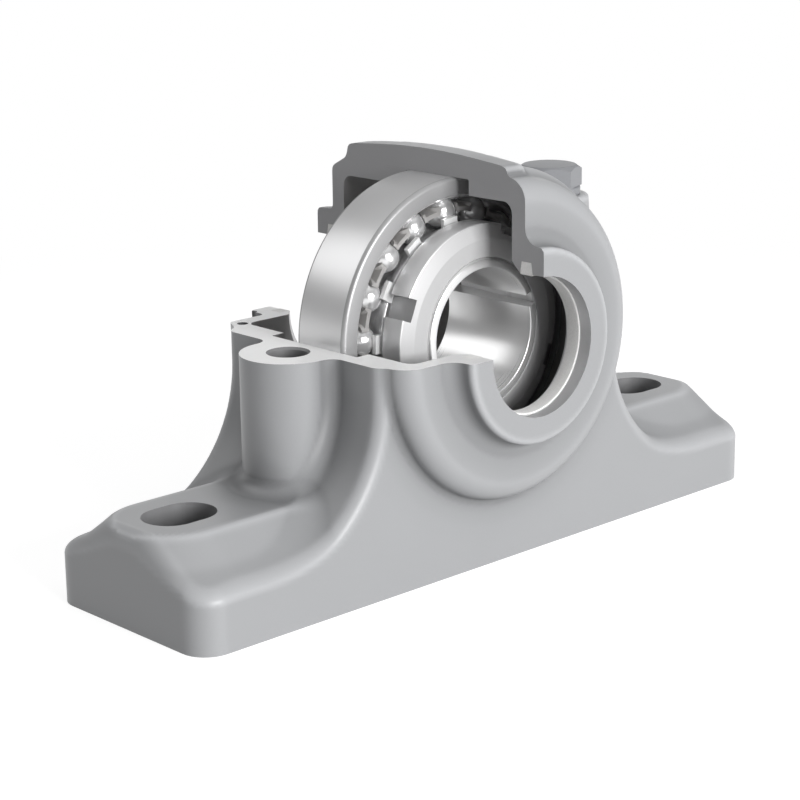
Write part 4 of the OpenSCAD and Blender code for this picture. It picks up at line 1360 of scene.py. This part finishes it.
corner_r = FLATS / 2 / math.cos(math.pi / 6)
hexagon = [(BOLT_X + corner_r * math.cos(math.radians(HEAD_TURN + 60 * i)),
            corner_r * math.sin(math.radians(HEAD_TURN + 60 * i))) for i in range(6)]
head_top = HEAD_Z + HEAD_HEIGHT
head = prism("head", hexagon, HEAD_Z, head_top, [bolt_steel])
cone_corners = [(0.0, HEAD_Z - 1.0, 0), (corner_r - 0.3, HEAD_Z - 1.0, 0), (corner_r + 0.5, HEAD_Z + 1.0, 0),
                (corner_r + 0.5, head_top - 1.7, 1.0), (FLATS / 2 - 0.6, head_top, 0.6), (0.0, head_top, 0)]
chamfer = turned_upright("chamfer", cone_corners, [bolt_steel], BOLT_X, 0.0, 96)
head = carve(head, [chamfer], "INTERSECT")
bolt_mesh = carve(head, [shank_mesh], "UNION")
clean_mesh(bolt_mesh, BOLT_SHARP_ANGLE)
place_piece("cap_bolt_forged", bolt_mesh, "housing", "cap_bolt")

# %% [markdown]
# Two small pieces are left. The spring washer under the bolt's head is a split ring,
# pressed flat by the bolt. The dowel pin crosses the joint beside the bearing, and its
# two small bevels let it find its hole.

# %% Spring washer
WASHER_R, WASHER_INNER_R, WASHER_HEIGHT, WASHER_EDGE = 8.7, 5.3, 2.2, 0.3
SPLIT_ANGLE, SPLIT_HALF = 150.0, 2.2

washer_top = SEAT_Z + WASHER_HEIGHT
coil_corners = [(WASHER_INNER_R, SEAT_Z, WASHER_EDGE), (WASHER_R, SEAT_Z, WASHER_EDGE),
                (WASHER_R, washer_top, WASHER_EDGE), (WASHER_INNER_R, washer_top, WASHER_EDGE)]
coil = turned_upright("coil", coil_corners, [bolt_steel], BOLT_X, 0.0, 72,
                      start=-SPLIT_ANGLE + SPLIT_HALF, sweep=360.0 - 2 * SPLIT_HALF)
place_piece("spring_washer_split", coil, "housing", "spring_washer")

# %% Dowel pin
PIN_R, PIN_HALF, PIN_BEVEL = 1.5, 6.0, 0.3

pin_low, pin_high = SHAFT_HEIGHT - PIN_HALF, SHAFT_HEIGHT + PIN_HALF
pin_corners = [(0.0, pin_low, 0), (PIN_R - PIN_BEVEL, pin_low, 0), (PIN_R, pin_low + PIN_BEVEL, 0),
               (PIN_R, pin_high - PIN_BEVEL, 0), (PIN_R - PIN_BEVEL, pin_high, 0), (0.0, pin_high, 0)]
pin = turned_upright("pin", pin_corners, [ground_steel], DOWEL_X, -DOWEL_Y, 32)
place_piece("dowel_pin_ground", pin, "housing", "dowel_pin")
